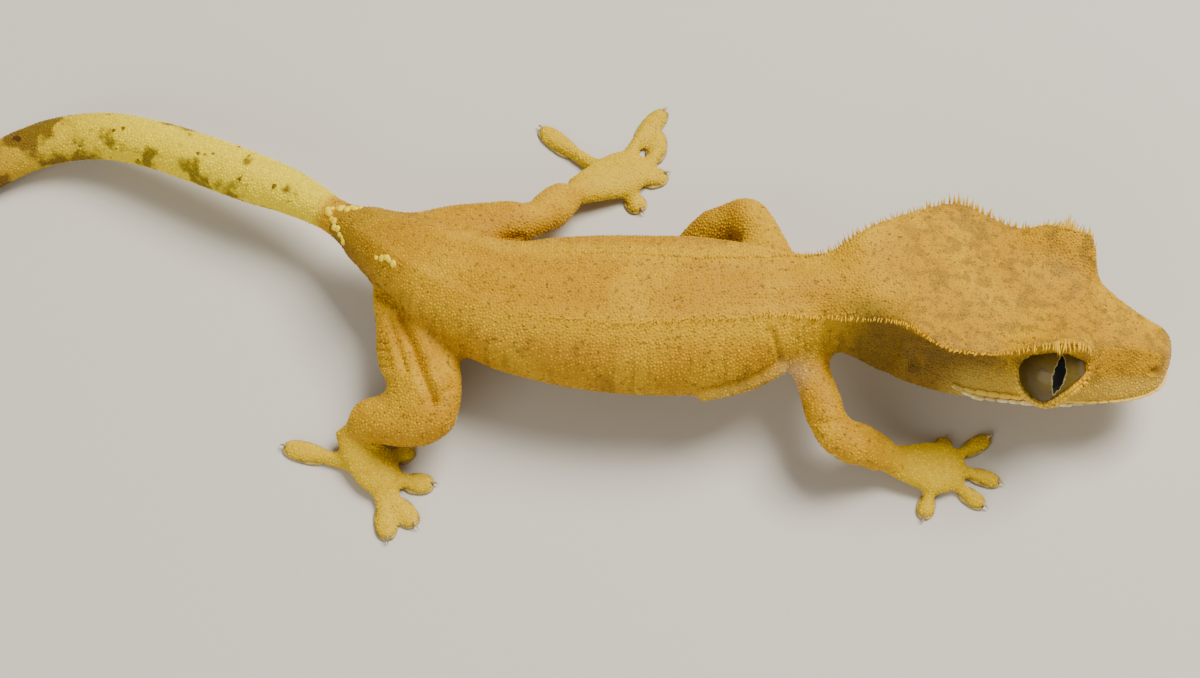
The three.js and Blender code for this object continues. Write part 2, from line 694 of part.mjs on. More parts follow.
// Toe from the palm to its tip: narrow, then a broad flat pad, then a narrow end with a claw
function toe(root, tip, pads) {
  const start = new THREE.Vector3(...root);
  const end = new THREE.Vector3(tip[0], tip[1], TOE_HEIGHT);
  start.z = Math.min(start.z, TOE_ROOT_HEIGHT);
  const along = end.clone().sub(start);
  const side = new THREE.Vector3().crossVectors(UP, along).normalize();
  const centres = TOE_SHARES.map((share) => {
    const at = start.clone().addScaledVector(along, share);
    at.addScaledVector(side, tip[2] * Math.sin(Math.PI * share));
    at.z = TOE_HEIGHT + (start.z - TOE_HEIGHT) * (1 - share) ** 2;
    return at.toArray();
  });
  const rings = TOE_WIDTHS.map((wide, i) => oval(wide * pads, TOE_HEIGHTS[i], TOE_HEIGHTS[i], TOE_SIDES));
  const form = new Form(framed(centres, rings));
  const claw = new THREE.ConeGeometry(CLAW_RADIUS, CLAW_LENGTH, 5);
  claw.translate(0, CLAW_LENGTH * 0.2, 0);
  const ahead = along.clone().setZ(0).normalize();
  claw.applyQuaternion(new THREE.Quaternion().setFromUnitVectors(new THREE.Vector3(0, 1, 0), ahead));
  claw.translate(tip[0], tip[1], TOE_HEIGHT);
  return form.mesh(0, form.end, STEPS.toe, 1).add(solidOf(claw));
}

function footSolid({ palm, wide, pads, tips }) {
  const rings = wide.map((half, i) => oval(half, PALM_HEIGHTS[i], PALM_HEIGHTS[i], LIMB_SIDES));
  const palmForm = new Form(framed(palm, rings));
  const hub = palm[2];
  const toes = tips.map((tip) => toe(hub, tip, pads));
  return together([palmForm.mesh(0, palmForm.end, STEPS.palm, 1), ...toes]);
}

const skin = new THREE.MeshStandardMaterial({ color: 0xc9a045, roughness: 0.62, metalness: 0 });
const tailSkin = new THREE.MeshStandardMaterial({ color: 0xdcbf68, roughness: 0.6, metalness: 0 });
const footSkin = new THREE.MeshStandardMaterial({ color: 0xd9b95a, roughness: 0.58, metalness: 0 });
const eyeGlaze = new THREE.MeshStandardMaterial({ color: 0x5f5836, roughness: 0.08, metalness: 0 });

const gecko = new THREE.Group();
gecko.position.set(-MIDDLE[0], -MIDDLE[1], 0);

function addNode(name, solid, material) {
  const mesh = new THREE.Mesh(geometryOf(whole(solid)), material);
  mesh.name = name;
  gecko.add(mesh);
}

addNode("torso", torsoSolid(), skin);
addNode("neck", neckSolid(), skin);
addNode("head", headSolid(), skin);

const tail = tailForm();
const cuts = [0, ...TAIL_CUTS, tail.end];
["tail_base", "tail_middle", "tail_tip"].forEach((name, i) => {
  const from = cuts[i] + GAP / 2;
  const to = i === 2 ? cuts[3] : cuts[i + 1] - GAP / 2;
  addNode(name, aboveFloor(tail.mesh(from, to, STEPS.tail, 2)), tailSkin);
});

for (const [name, side] of [["eye_left", 1], ["eye_right", -1]]) {
  const [forward, left, up] = EYE_AT;
  addNode(name, headBlob([forward, side * left, up], [EYE_RADIUS, EYE_RADIUS, EYE_RADIUS], 3), eyeGlaze);
}

const limbs = [
  ["thigh_right", "shank_right", "foot_right"],
  ["thigh_left", "shank_left", "foot_left"],
  ["upper_arm_right", "forearm_right", "hand_right"],
  ["upper_arm_left", "forearm_left", "hand_left"],
];
for (const [upperName, lowerName, footName] of limbs) {
  const upper = legForm(LEGS[upperName]);
  const lower = legForm(LEGS[lowerName]);
  const upperSpace = upper.grown(GROW).mesh(0, upper.end, STEPS.limb, 1);
  const lowerSpace = lower.grown(GROW).mesh(0, lower.end, STEPS.limb, 1);
  addNode(upperName, upper.mesh(0, upper.end, STEPS.limb, 1).subtract(trunkSpace), skin);
  const lowerSolid = lower.mesh(0, lower.end, STEPS.limb, 1).subtract(upperSpace);
  addNode(lowerName, lowerSolid.subtract(trunkSpace), skin);
  const foot = aboveFloor(footSolid(FEET[footName]));
  addNode(footName, foot.subtract(lowerSpace).subtract(trunkSpace), footSkin);
}

export default gecko;
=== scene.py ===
"""Dresses the solids of a life-size crested gecko model.

One skin, its granular scales, crest spines, lip scales, lids, toe pads and claws stand for
the faceted flesh, and two glossy eyes stand for the plain ones. Shapes are given in pose
millimetres, the numbers that the solids are built from, and are turned to metres at the end.
"""
import logging
import math
from dataclasses import dataclass, field
from enum import Enum

import bpy
import numpy as np
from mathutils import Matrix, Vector


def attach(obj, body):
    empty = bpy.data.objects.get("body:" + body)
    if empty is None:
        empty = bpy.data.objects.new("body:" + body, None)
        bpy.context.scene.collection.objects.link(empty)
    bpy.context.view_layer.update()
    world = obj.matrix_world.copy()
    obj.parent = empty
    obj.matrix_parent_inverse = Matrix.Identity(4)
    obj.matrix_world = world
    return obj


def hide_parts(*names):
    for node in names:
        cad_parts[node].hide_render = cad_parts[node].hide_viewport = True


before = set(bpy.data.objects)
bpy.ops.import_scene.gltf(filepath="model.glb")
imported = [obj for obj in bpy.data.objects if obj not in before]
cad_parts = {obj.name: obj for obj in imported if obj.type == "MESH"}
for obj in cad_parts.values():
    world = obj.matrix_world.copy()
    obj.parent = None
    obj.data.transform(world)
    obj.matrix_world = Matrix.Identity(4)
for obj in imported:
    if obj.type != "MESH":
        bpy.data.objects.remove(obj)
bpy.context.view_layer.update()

LOG = logging.getLogger("gecko")
Array = np.ndarray
Socket = bpy.types.NodeSocket

# Metres in a millimetre, and the pose's point that lies at the frame's origin
MM = 0.001
MIDDLE = np.array([-11.68, 8.69, 0.0])

# The head's own frame: its origin, and its turn about up, left and forward in degrees
HEAD_AT = np.array([36.26, 4.81, 12.0])
HEAD_YAW = -12.98
HEAD_PITCH = 5.73
HEAD_ROLL = -12.0

# Trunk from the tail root to the neck: centre, half width, height above the centre, depth
# below it, and how far the crest rows stand from the midline
TRUNK = [
    ((-30.6, 16.9, 8.0), 2.6, 2.4, 2.6, 1.0),
    ((-27.4, 14.8, 8.5), 3.9, 3.3, 3.5, 1.6),
    ((-23.7, 12.2, 9.0), 5.3, 4.2, 4.4, 2.4),
    ((-17.6, 8.0, 9.7), 6.7, 5.0, 5.0, 3.2),
    ((-11.6, 4.9, 10.2), 8.0, 5.6, 5.4, 3.8),
    ((-5.8, 3.8, 10.5), 9.1, 6.2, 5.8, 4.2),
    ((0.0, 3.2, 10.7), 9.8, 6.5, 6.0, 4.4),
    ((5.8, 2.8, 10.9), 10.0, 6.6, 6.1, 4.3),
    ((11.5, 2.7, 11.1), 9.8, 6.5, 6.1, 3.9),
    ((16.1, 2.9, 11.4), 8.9, 6.1, 6.0, 3.8),
    ((20.7, 3.3, 11.8), 7.2, 5.7, 5.9, 3.8),
    ((26.4, 3.75, 12.2), 5.7, 5.3, 5.7, 4.2),
]
NAPE_AT = (31.5, 4.2, 12.4)
NAPE = [(0, 5.6), (3.6, 5.5), (6.2, 5.7), (6.4, 2.6), (7.5, -2.2), (6.3, -5.6), (0, -6.6)]

# Head sections: station, then half outline as top, crown, crest, temple, lip, jowl, bottom
HEAD = [
    (0, (0, 5.25), (5.8, 5.2), (9.8, 5.1), (8.9, 2.5), (10.1, -2.2), (8.1, -5.1), (0, -5.9)),
    (3, (0, 5.25), (6.0, 5.1), (11.3, 5.1), (9.2, 2.5), (10.4, -2.5), (8.3, -5.1), (0, -5.8)),
    (6.5, (0, 5.2), (5.7, 5.0), (10.8, 4.65), (9.0, 2.4), (10.4, -2.7), (8.2, -5.0), (0, -5.7)),
    (10, (0, 5.1), (5.3, 5.0), (9.9, 4.9), (8.6, 2.4), (10.0, -2.8), (7.7, -4.8), (0, -5.4)),
    (13, (0, 5.0), (5.2, 5.4), (9.6, 7.0), (7.5, 3.0), (9.3, -2.8), (7.1, -4.7), (0, -5.2)),
    (16, (0, 4.9), (5.0, 5.7), (9.0, 8.0), (6.9, 3.2), (8.7, -2.8), (6.6, -4.5), (0, -5.0)),
    (18.5, (0, 4.7), (4.8, 5.4), (8.3, 7.5), (6.7, 3.0), (8.2, -2.7), (6.2, -4.3), (0, -4.8)),
    (20.2, (0, 4.3), (4.1, 4.3), (5.8, 4.2), (7.1, 1.7), (7.9, -2.6), (5.8, -4.2), (0, -4.7)),
    (22, (0, 4.0), (3.5, 3.9), (4.6, 3.5), (6.3, 1.0), (7.3, -2.5), (5.4, -3.9), (0, -4.4)),
    (24.5, (0, 3.6), (2.6, 3.5), (3.4, 3.0), (5.0, 0.8), (6.5, -2.3), (4.7, -3.6), (0, -4.1)),
    (27, (0, 3.0), (2.1, 2.9), (2.7, 2.4), (4.1, 0.5), (5.5, -2.0), (3.9, -3.2), (0, -3.6)),
    (29, (0, 2.4), (1.6, 2.3), (2.3, 1.8), (3.3, 0.2), (4.1, -1.6), (2.8, -2.7), (0, -3.0)),
    (29.9, (0, 1.5), (1.1, 1.4), (1.6, 1.0), (2.4, -0.2), (2.8, -1.4), (2.0, -2.3), (0, -2.5)),
    (30.3, (0, 0.3), (0.4, 0.2), (0.8, 0), (1.0, -0.5), (1.2, -1.4), (0.8, -1.9), (0, -2.0)),
]

# Tail from its pinched base to the tip: centre, half width, height above, depth below
TAIL = [
    ((-30.6, 16.9, 8.0), 2.6, 2.4, 2.6),
    ((-33.5, 19.0, 7.8), 2.4, 2.3, 2.4),
    ((-37.0, 21.2, 7.6), 2.8, 2.6, 2.6),
    ((-42.6, 23.8, 7.2), 3.2, 3.0, 2.9),
    ((-49.0, 26.8, 6.6), 3.2, 3.0, 2.9),
    ((-55.5, 29.6, 5.8), 3.1, 2.9, 2.8),
    ((-62.1, 31.5, 4.7), 3.1, 2.7, 2.7),
    ((-68.5, 31.3, 3.7), 3.0, 2.6, 2.6),
    ((-74.8, 28.8, 2.8), 2.9, 2.4, 2.4),
    ((-80.6, 24.0, 2.2), 2.6, 2.0, 2.2),
    ((-84.6, 17.4, 1.9), 2.2, 1.8, 2.0),
    ((-87.2, 10.8, 1.6), 2.0, 1.5, 1.8),
    ((-87.6, 4.0, 1.3), 1.9, 1.2, 1.5),
    ((-85.8, -2.0, 1.0), 1.8, 0.9, 1.2),
    ((-83.6, -5.4, 0.8), 1.2, 0.7, 0.9),
    ((-82.8, -6.4, 0.7), 0.5, 0.35, 0.75),
]

# Upper and lower lengths of the legs: centre, half width, half height
LEGS = {
    "thigh_right": [
        ((-23.6, 8.8, 6.8), 3.8, 2.5),
        ((-22.4, 4.1, 6.6), 4.2, 2.6),
        ((-21.2, -1.0, 7.2), 4.6, 2.8),
        ((-19.2, -5.6, 7.8), 4.0, 2.8),
        ((-17.6, -9.0, 7.9), 2.3, 2.0),
    ],
    "shank_right": [
        ((-16.4, -8.8, 7.9), 1.9, 1.9),
        ((-18.6, -8.5, 7.2), 3.2, 2.7),
        ((-22.6, -8.0, 5.7), 3.5, 2.8),
        ((-26.5, -7.4, 4.1), 2.8, 2.2),
        ((-29.0, -7.4, 2.8), 2.0, 1.7),
    ],
    "thigh_left": [
        ((-22.8, 13.6, 8.8), 3.4, 3.0),
        ((-18.4, 15.4, 8.7), 3.2, 2.8),
        ((-13.4, 16.1, 8.5), 3.0, 2.6),
        ((-9.4, 16.5, 8.3), 2.9, 2.5),
        ((-7.0, 17.2, 8.0), 1.8, 1.7),
    ],
    "shank_left": [
        ((-7.6, 15.8, 8.1), 1.6, 1.5),
        ((-7.2, 17.5, 7.6), 2.4, 2.2),
        ((-5.8, 20.1, 6.0), 2.6, 2.1),
        ((-4.6, 22.6, 4.2), 2.4, 1.8),
        ((-3.5, 24.3, 2.9), 2.0, 1.5),
    ],
    "upper_arm_right": [
        ((23.0, 0.2, 9.5), 2.6, 2.4),
        ((24.4, -4.2, 8.9), 2.5, 2.2),
        ((25.6, -8.8, 8.3), 2.4, 2.1),
        ((26.2, -11.6, 8.0), 2.2, 2.0),
        ((26.5, -13.2, 7.8), 1.3, 1.2),
    ],
    "forearm_right": [
        ((25.0, -12.6, 8.1), 1.2, 1.1),
        ((26.8, -11.8, 7.6), 2.6, 2.1),
        ((29.8, -11.4, 5.8), 2.6, 2.0),
        ((32.4, -11.7, 3.8), 2.3, 1.7),
        ((34.2, -12.0, 2.7), 2.1, 1.4),
    ],
    "upper_arm_left": [
        ((20.9, 8.0, 10.9), 3.0, 2.6),
        ((19.4, 12.6, 10.2), 2.8, 2.5),
        ((18.0, 16.0, 9.3), 2.7, 2.4),
        ((16.6, 18.2, 8.6), 2.4, 2.2),
        ((15.6, 19.2, 8.2), 1.4, 1.3),
    ],
    "forearm_left": [
        ((17.6, 18.6, 8.3), 1.3, 1.2),
        ((16.0, 17.5, 7.9), 2.5, 2.1),
        ((13.0, 16.2, 6.2), 2.7, 2.1),
        ((10.4, 14.8, 4.2), 2.2, 1.7),
        ((8.8, 13.6, 2.7), 1.8, 1.4),
    ],
}

# Feet: palm centres from the ankle on, the palm's half widths, and the toe tips on the
# floor, each with how far the toe bows to its left on the way, and the pads' share of width
FEET = {
    "foot_right": (
        [(-29.4, -7.4, 2.6), (-28.2, -9.6, 1.9), (-26.2, -12.2, 1.3), (-24.7, -14.4, 1.1),
         (-24.0, -15.5, 0.8)],
        [1.8, 2.3, 2.8, 2.1, 1.0],
        [(-37.0, -9.1, 0), (-24.3, -20.8, 0.2), (-21.2, -19.1, -0.2), (-19.3, -13.9, -0.5), (-21.9, -9.2, 0)],
        0.98,
    ),
    "foot_left": (
        [(-3.3, 24.5, 2.6), (-0.8, 26.0, 2.0), (2.2, 27.8, 1.3), (4.5, 29.3, 1.1), (5.7, 30.1, 0.8)],
        [1.9, 2.6, 3.3, 2.8, 1.5],
        [(-7.5, 35.6, 0.4), (8.3, 38.3, 0.5), (7.1, 35.4, -2.2), (8.4, 28.7, -0.6), (5.2, 23.2, 0)],
        1.0,
    ),
    "hand_right": (
        [(34.0, -12.0, 2.4), (36.2, -12.2, 1.9), (38.9, -12.3, 1.3), (41.2, -11.9, 1.1), (42.4, -11.7, 0.8)],
        [2.0, 2.7, 3.3, 2.7, 1.5],
        [(40.6, -8.0, 0), (45.7, -7.9, 0), (46.4, -13.8, 0.5), (44.3, -16.7, 0), (37.2, -18.2, 0)],
        0.78,
    ),
    "hand_left": (
        [(8.5, 13.2, 2.3), (7.6, 11.4, 1.8), (6.3, 9.1, 1.3), (5.2, 7.2, 1.1), (4.7, 6.2, 0.8)],
        [1.8, 2.5, 3.1, 2.6, 1.4],
        [(0.6, 12.6, 0), (0.0, 8.0, 0), (3.2, 3.4, 0), (7.8, 3.6, 0), (11.8, 7.4, 0)],
        0.78,
    ),
}


def placed(points: Array) -> Array:
    """Pose millimetres as metres in the frame."""
    return (points - MIDDLE) * MM


def unit(vectors: Array) -> Array:
    """Vectors scaled to length one."""
    return vectors / np.maximum(np.linalg.norm(vectors, axis=-1, keepdims=True), 1e-12)


def bump(distance: Array, width: float) -> Array:
    """A bell of height one that falls off with distance over a width."""
    return np.exp(-((distance / width) ** 2))


def ramp(value: Array, low: float, high: float) -> Array:
    """Smooth rise from zero at low to one at high."""
    share = np.clip((value - low) / (high - low), 0.0, 1.0)
    return share * share * (3.0 - 2.0 * share)


def turns(count: int) -> Array:
    """Angles spaced evenly round a whole turn."""
    return 2 * np.pi * np.arange(count) / count


def circle(count: int) -> Array:
    """Points spaced evenly on a circle of radius one, as cosine and sine."""
    turn = turns(count)
    return np.stack([np.cos(turn), np.sin(turn)], axis=1)


def square_to(vectors: Array, ways: Array) -> Array:
    """Directions of vectors once their parts along the given ways are taken off."""
    return unit(vectors - (vectors * ways).sum(axis=1, keepdims=True) * ways)


def facing(ahead: float, above: float, side: int = 1) -> Array:
    """Direction outwards on one side of the head, turned ahead and upwards by two angles."""
    level = math.cos(above)
    return np.array([math.sin(ahead) * level, side * math.cos(ahead) * level, math.sin(above)])


def head_turn() -> Array:
    """Turn matrix of the head's frame, with forward, left and up as its columns."""
    yaw, pitch, roll = (math.radians(a) for a in (HEAD_YAW, HEAD_PITCH, HEAD_ROLL))
    (cos_yaw, cos_pitch, cos_roll), (sin_yaw, sin_pitch, sin_roll) = (
        [way(angle) for angle in (yaw, pitch, roll)] for way in (math.cos, math.sin))
    about_up = np.array([[cos_yaw, -sin_yaw, 0], [sin_yaw, cos_yaw, 0], [0, 0, 1]])
    about_left = np.array([[cos_pitch, 0, sin_pitch], [0, 1, 0], [-sin_pitch, 0, cos_pitch]])
    about_ahead = np.array([[1, 0, 0], [0, cos_roll, -sin_roll], [0, sin_roll, cos_roll]])
    return about_up @ about_left @ about_ahead


HEAD_TURN = head_turn()


def in_head(points: Array) -> Array:
    """Pose points given as forward, left and up in the head's frame."""
    return (points - HEAD_AT) @ HEAD_TURN


def from_head(local: Array) -> Array:
    """Pose points of places given as forward, left and up in the head's frame."""
    return np.asarray(local, float) @ HEAD_TURN.T + HEAD_AT


def hermite(keys: Array, rows: Array, t: Array) -> Array:
    """Cubic curve through rows at keys, each span joined by its ends' values and slopes.

    The slope at an inner key is the mean of the slopes on its two sides, each weighted by
    the span on the other side.

    Args:
        keys: rising positions of the rows.
        rows: values at the keys, any shape after the first axis.
        t: positions to read.

    Returns:
        One value for each t.
    """
    spans = np.diff(keys)
    shape = (-1,) + (1,) * (rows.ndim - 1)
    slopes = np.diff(rows, axis=0) / spans.reshape(shape)
    before, after = spans[:-1].reshape(shape), spans[1:].reshape(shape)
    inner = (slopes[1:] * before + slopes[:-1] * after) / (before + after)
    bends = np.concatenate([slopes[:1], inner, slopes[-1:]])
    i = np.clip(np.searchsorted(keys, t, side="right") - 1, 0, len(keys) - 2)
    s = ((t - keys[i]) / spans[i]).reshape(shape)
    rise = (s**3 - 2 * s**2 + s) * bends[i] + (s**3 - s**2) * bends[i + 1]
    return rows[i] + (3 * s**2 - 2 * s**3) * (rows[i + 1] - rows[i]) + rise * spans[i].reshape(shape)


def ring_bend(a: Array, b: Array, c: Array, d: Array, s: Array) -> Array:
    """Point at share s between b and c on the cubic that also heeds a and d."""
    curve = (2 * a - 5 * b + 4 * c - d) * s**2 + (3 * b - a - 3 * c + d) * s**3
    return 0.5 * (2 * b + (c - a) * s + curve)


def oval(wide: float, high: float, deep: float, sides: int) -> Array:
    """Oval outline from its top, leftwards: sines of the width, cosines of height or depth."""
    turn = turns(sides)
    rise = np.cos(turn)
    return np.stack([wide * np.sin(turn), np.where(rise > 0, high, deep) * rise], axis=1)


def mirrored(half: Array) -> Array:
    """Whole outline of a half that runs from the top point to the bottom point."""
    half = np.asarray(half, float)
    return np.concatenate([half, half[-2:0:-1] * (-1, 1)])


def trunk_outline(wide: float, high: float, deep: float, crest: float) -> Array:
    """Outline of the trunk: rounded back, low crest edges, and a belly flatter than an oval.

    The back's points lie on an oval, lifted by a small edge at the crest.

    Args:
        wide: half width.
        high: height above the centre.
        deep: depth below it.
        crest: how far the crest edges stand from the midline.

    Returns:
        Outline points as left and up.
    """
    edge, inner = 0.25, 0.55 * crest
    shoulder = high * math.sqrt(1 - (crest / wide) ** 2) + edge
    crown = high * math.sqrt(1 - (inner / wide) ** 2) - 0.02 * high
    half = [(0, high), (inner, crown), (crest, shoulder), (0.84 * wide, 0.52 * high)]
    return mirrored(half + [(wide, -0.08 * high), (0.74 * wide, -0.7 * deep), (0, -deep)])


def pad_outline(wide: float, high: float, under: float) -> Array:
    """Outline of a toe: a rounded back over a flat sole, widest close above the floor."""
    half = [(0, high), (0.62 * wide, 0.7 * high), (wide, -0.45 * under), (0.86 * wide, -0.95 * under)]
    return mirrored(half + [(0, -under)])


def frames_along(centres: Array) -> tuple[Array, Array]:
    """Left and up at each centre of a line, from the line's own direction there."""
    rows = np.concatenate([centres[:1], centres, centres[-1:]])
    ahead = unit(rows[2:] - rows[:-2])
    left = unit(np.cross((0, 0, 1), ahead))
    return left, np.cross(ahead, left)


@dataclass
class Loft:
    """A closed form: an outline carried along a line of centres.

    Attributes:
        name: the form's name.
        centres: section centres in pose millimetres.
        rings: outline points of each section as left and up.
        left: the left direction at each section, from the line where none is given.
        up: the up direction at each section.
    """

    name: str
    centres: Array
    rings: Array
    left: Array | None = None
    up: Array | None = None

    def __post_init__(self) -> None:
        """Works out the frames, the keys and the outline points in space."""
        self.centres = np.asarray(self.centres, float)
        self.rings = np.asarray(self.rings, float)
        if self.left is None:
            self.left, self.up = frames_along(self.centres)
        steps = np.linalg.norm(np.diff(self.centres, axis=0), axis=1)
        self.keys = np.concatenate([[0.0], np.cumsum(steps)])
        across = self.rings[..., :1] * self.left[:, None] + self.rings[..., 1:] * self.up[:, None]
        self.rows = self.centres[:, None] + across
        wide = np.abs(self.rings[..., 0]).max(axis=1)
        self.sizes = np.stack([wide, self.rings[..., 1].max(axis=1), -self.rings[..., 1].min(axis=1)], axis=1)

    @property
    def length(self) -> float:
        """Length of the line of centres."""
        return float(self.keys[-1])

    def points(self, t: Array, v: Array) -> Array:
        """Surface points: t along the form, v counted in outline points from the top.

        The outlines are joined lengthwise by a cubic curve, and that section's points
        by a cubic round the form.

        Args:
            t: places along, one for each point.
            v: places round, one for each point.

        Returns:
            Pose points, one for each pair.
        """
        t, v = np.broadcast_arrays(np.asarray(t, float), np.asarray(v, float))
        rings = hermite(self.keys, self.rows, t.ravel())
        low = np.floor(v.ravel()).astype(int)
        each, count = np.arange(len(low)), self.rings.shape[1]
        knots = [rings[each, (low + n) % count] for n in (-1, 0, 1, 2)]
        return ring_bend(*knots, (v.ravel() - low)[:, None]).reshape(t.shape + (3,))

    def frames(self, t: Array) -> tuple[Array, Array, Array]:
        """Ahead, left and up directions at places along the form."""
        left = unit(hermite(self.keys, self.left, t))
        up = unit(hermite(self.keys, self.up, t))
        return np.cross(left, up), left, up

    def toward(self, t: Array, ahead: Array, left: Array, up: Array) -> Array:
        """Directions given as parts ahead, left and up at places along the form."""
        axes = self.frames(t)
        parts = (np.asarray(p, float).reshape(-1, 1) * a for p, a in zip((ahead, left, up), axes))
        return unit(sum(parts))

    def shell(self, step: float, fill: int) -> tuple[Array, Array]:
        """Closed surface of the whole form.

        Args:
            step: distance between sections.
            fill: points drawn for each outline point.

        Returns:
            Points, and triangles that face out.
        """
        count = max(4, math.ceil(self.length / step)) + 1
        t = np.linspace(0, self.length, count)
        v = np.arange(self.rings.shape[1] * fill) / fill
        grid = self.points(t[:, None], v[None, :])
        return closed_tube(grid)


def grid_quads(rows: int, columns: int, wrap: bool) -> Array:
    """Quads between the points of a grid, closed round its columns where wrap is set."""
    a = np.arange(rows - 1)[:, None] * columns + np.arange(columns if wrap else columns - 1)[None, :]
    b = a + 1
    if wrap:
        b[:, -1] -= columns
    return np.stack([a, a + columns, b + columns, b], axis=-1).reshape(-1, 4)


def triangles(quads: Array) -> Array:
    """Each quad as two triangles."""
    return np.concatenate([quads[:, [0, 1, 2]], quads[:, [0, 2, 3]]])


def outward(points: Array, faces: Array) -> Array:
    """Triangles turned so that they enclose a volume that isn't negative."""
    a, b, c = (points[faces[:, n]] for n in range(3))
    return faces if np.einsum("ij,ij->", a, np.cross(b, c)) > 0 else faces[:, ::-1]


def closed_tube(grid: Array) -> tuple[Array, Array]:
    """Tube through a grid of rings, with each end drawn to its middle point.

    Args:
        grid: rings of points, (rings, points, 3).

    Returns:
        Points, and triangles that face out.
    """
    rings, around = grid.shape[:2]
    points = np.concatenate([grid.reshape(-1, 3), grid[:1].mean(axis=1), grid[-1:].mean(axis=1)])
    each = np.arange(around)
    after = (each + 1) % around
    first, last = np.full(around, rings * around), np.full(around, rings * around + 1)
    start = np.stack([first, each, after], axis=1)
    end = np.stack([last, after, each], axis=1) + np.array([0, 1, 1]) * (rings - 1) * around
    faces = np.concatenate([triangles(grid_quads(rings, around, True)), start, end])
    return points, outward(points, faces)


def ball_grid(rings: int, around: int) -> Array:
    """Rings of a ball of radius one without its poles.

    The point at slope p from the pole and turn q lies at sin p cos q, sin p sin q, cos p.

    Args:
        rings: rings of points, with the two poles counted.
        around: points in a ring.

    Returns:
        The grid of points.
    """
    slope = np.linspace(0, np.pi, rings)[1:-1, None]
    turn = turns(around)[None]
    parts = (np.sin(slope) * np.cos(turn), np.sin(slope) * np.sin(turn), np.cos(slope))
    return np.stack(np.broadcast_arrays(*parts), axis=-1)


def merged(parts: list[tuple[Array, Array]]) -> tuple[Array, Array]:
    """Several meshes of triangles as one list of points and one of faces."""
    starts = np.cumsum([0] + [len(points) for points, _ in parts[:-1]])
    faces = [part[1] + start for part, start in zip(parts, starts)]
    return np.concatenate([part[0] for part in parts]), np.concatenate(faces)


class Gecko:
    """The forms that the animal's flesh is built from, with the sizes that they share."""

    trunk_sides = 12
    tail_sides = 16
    toes_on_foot = 5
    toe_height = 0.62
    toe_root_height = 1.0
    toe_shares = np.array([0, 0.35, 0.6, 0.78, 0.92, 1])
    toe_widths = (1.6, 1.1, 1.05, 1.4, 1.2, 0.45)
    toe_heights = (0.9, 0.8, 0.66, 0.48, 0.4, 0.3)
    palm_heights = (1.4, 1.4, 1.35, 1.05, 0.6)
    fold_line = ((11.8, -4.9, 8.5), (13.6, -5.2, 8.4), (16.2, -5.3, 8.3), (18.6, -4.9, 8.4),
                 (20.6, -4.1, 8.8))
    fold_size = 1.1
    fold_height = 0.75

    def __init__(self) -> None:
        """Builds every form."""
        self.body = self.body_loft()
        self.tail = Loft("tail", [row[0] for row in TAIL], [oval(*row[1:], self.tail_sides) for row in TAIL])
        self.skull_start = float(self.body.keys[len(TRUNK) + 1])
        self.lofts = [self.body, self.tail]
        self.lofts += [Loft(name, [r[0] for r in rows], [oval(r[1], r[2], r[2], 12) for r in rows])
                       for name, rows in LEGS.items()]
        self.lofts += [self.palm_loft(name) for name in FEET]
        self.lofts += [self.toe_loft(name, n) for name, n in self.every_toe()]
        self.lofts.append(self.fold_loft())

    def every_toe(self) -> list[tuple[str, int]]:
        """Each foot's name with each of its toes."""
        return [(name, toe) for name in FEET for toe in range(self.toes_on_foot)]

    def body_loft(self) -> Loft:
        """Trunk, nape and head as one form, from the tail root to the snout."""
        skull = from_head([(row[0], 0, 0) for row in HEAD])
        centres = np.array([row[0] for row in TRUNK] + [NAPE_AT, tuple(skull[0])])
        left, up = frames_along(centres)
        head_axes = [np.repeat(HEAD_TURN[:, n][None], len(HEAD), axis=0) for n in (1, 2)]
        rings = [trunk_outline(*row[1:]) for row in TRUNK] + [mirrored(NAPE)]
        rings += [mirrored(row[1:]) for row in HEAD]
        return Loft("body", np.concatenate([centres[:-1], skull]), rings,
                    np.concatenate([left[:-1], head_axes[0]]), np.concatenate([up[:-1], head_axes[1]]))

    def palm_loft(self, name: str) -> Loft:
        """Palm of a foot, from the ankle to the roots of the toes."""
        palm, wide = FEET[name][:2]
        rings = [oval(w, h, h, 12) for w, h in zip(wide, self.palm_heights)]
        return Loft(name, palm, rings)

    def toe_line(self, name: str, toe: int, shares: Array) -> Array:
        """Centres of a toe at shares of its length, from the palm's hub to the tip.

        The line runs straight, bowed sideways by a sine of the share, and its height falls
        to that of the tip with the square of what is left of the way.

        Args:
            name: the foot.
            toe: the toe's number.
            shares: shares of the length.

        Returns:
            The centres.
        """
        palm, _, tips, _ = FEET[name]
        start = np.array(palm[2])
        start[2] = min(start[2], self.toe_root_height)
        end = np.array([tips[toe][0], tips[toe][1], self.toe_height])
        along = end - start
        side = unit(np.cross((0, 0, 1), along))
        line = start + shares[:, None] * along + tips[toe][2] * np.sin(np.pi * shares)[:, None] * side
        line[:, 2] = self.toe_height + (start[2] - self.toe_height) * (1 - shares) ** 2
        return line

    def toe_loft(self, name: str, toe: int) -> Loft:
        """A toe: narrow, then a broad flat pad, then a narrow end."""
        line = self.toe_line(name, toe, self.toe_shares)
        pads = FEET[name][3]
        sizes = zip(self.toe_widths, self.toe_heights, line[:, 2])
        rings = [pad_outline(wide * pads, high, under) for wide, high, under in sizes]
        return Loft(f"{name}_{toe}", line, rings)

    def fold_loft(self) -> Loft:
        """Fold of loose skin low on the right flank, its size the root of a sine along it."""
        count = len(self.fold_line)
        sizes = self.fold_size * np.sin(np.pi * (np.arange(count) + 0.5) / count) ** 0.5
        rings = [oval(size, self.fold_height * size, self.fold_height * size, 8) for size in sizes]
        return Loft("flank_fold", self.fold_line, rings)

    def along_head(self, station: Array) -> Array:
        """Place along the body form of a station in the head's frame."""
        return self.skull_start + np.asarray(station, float)


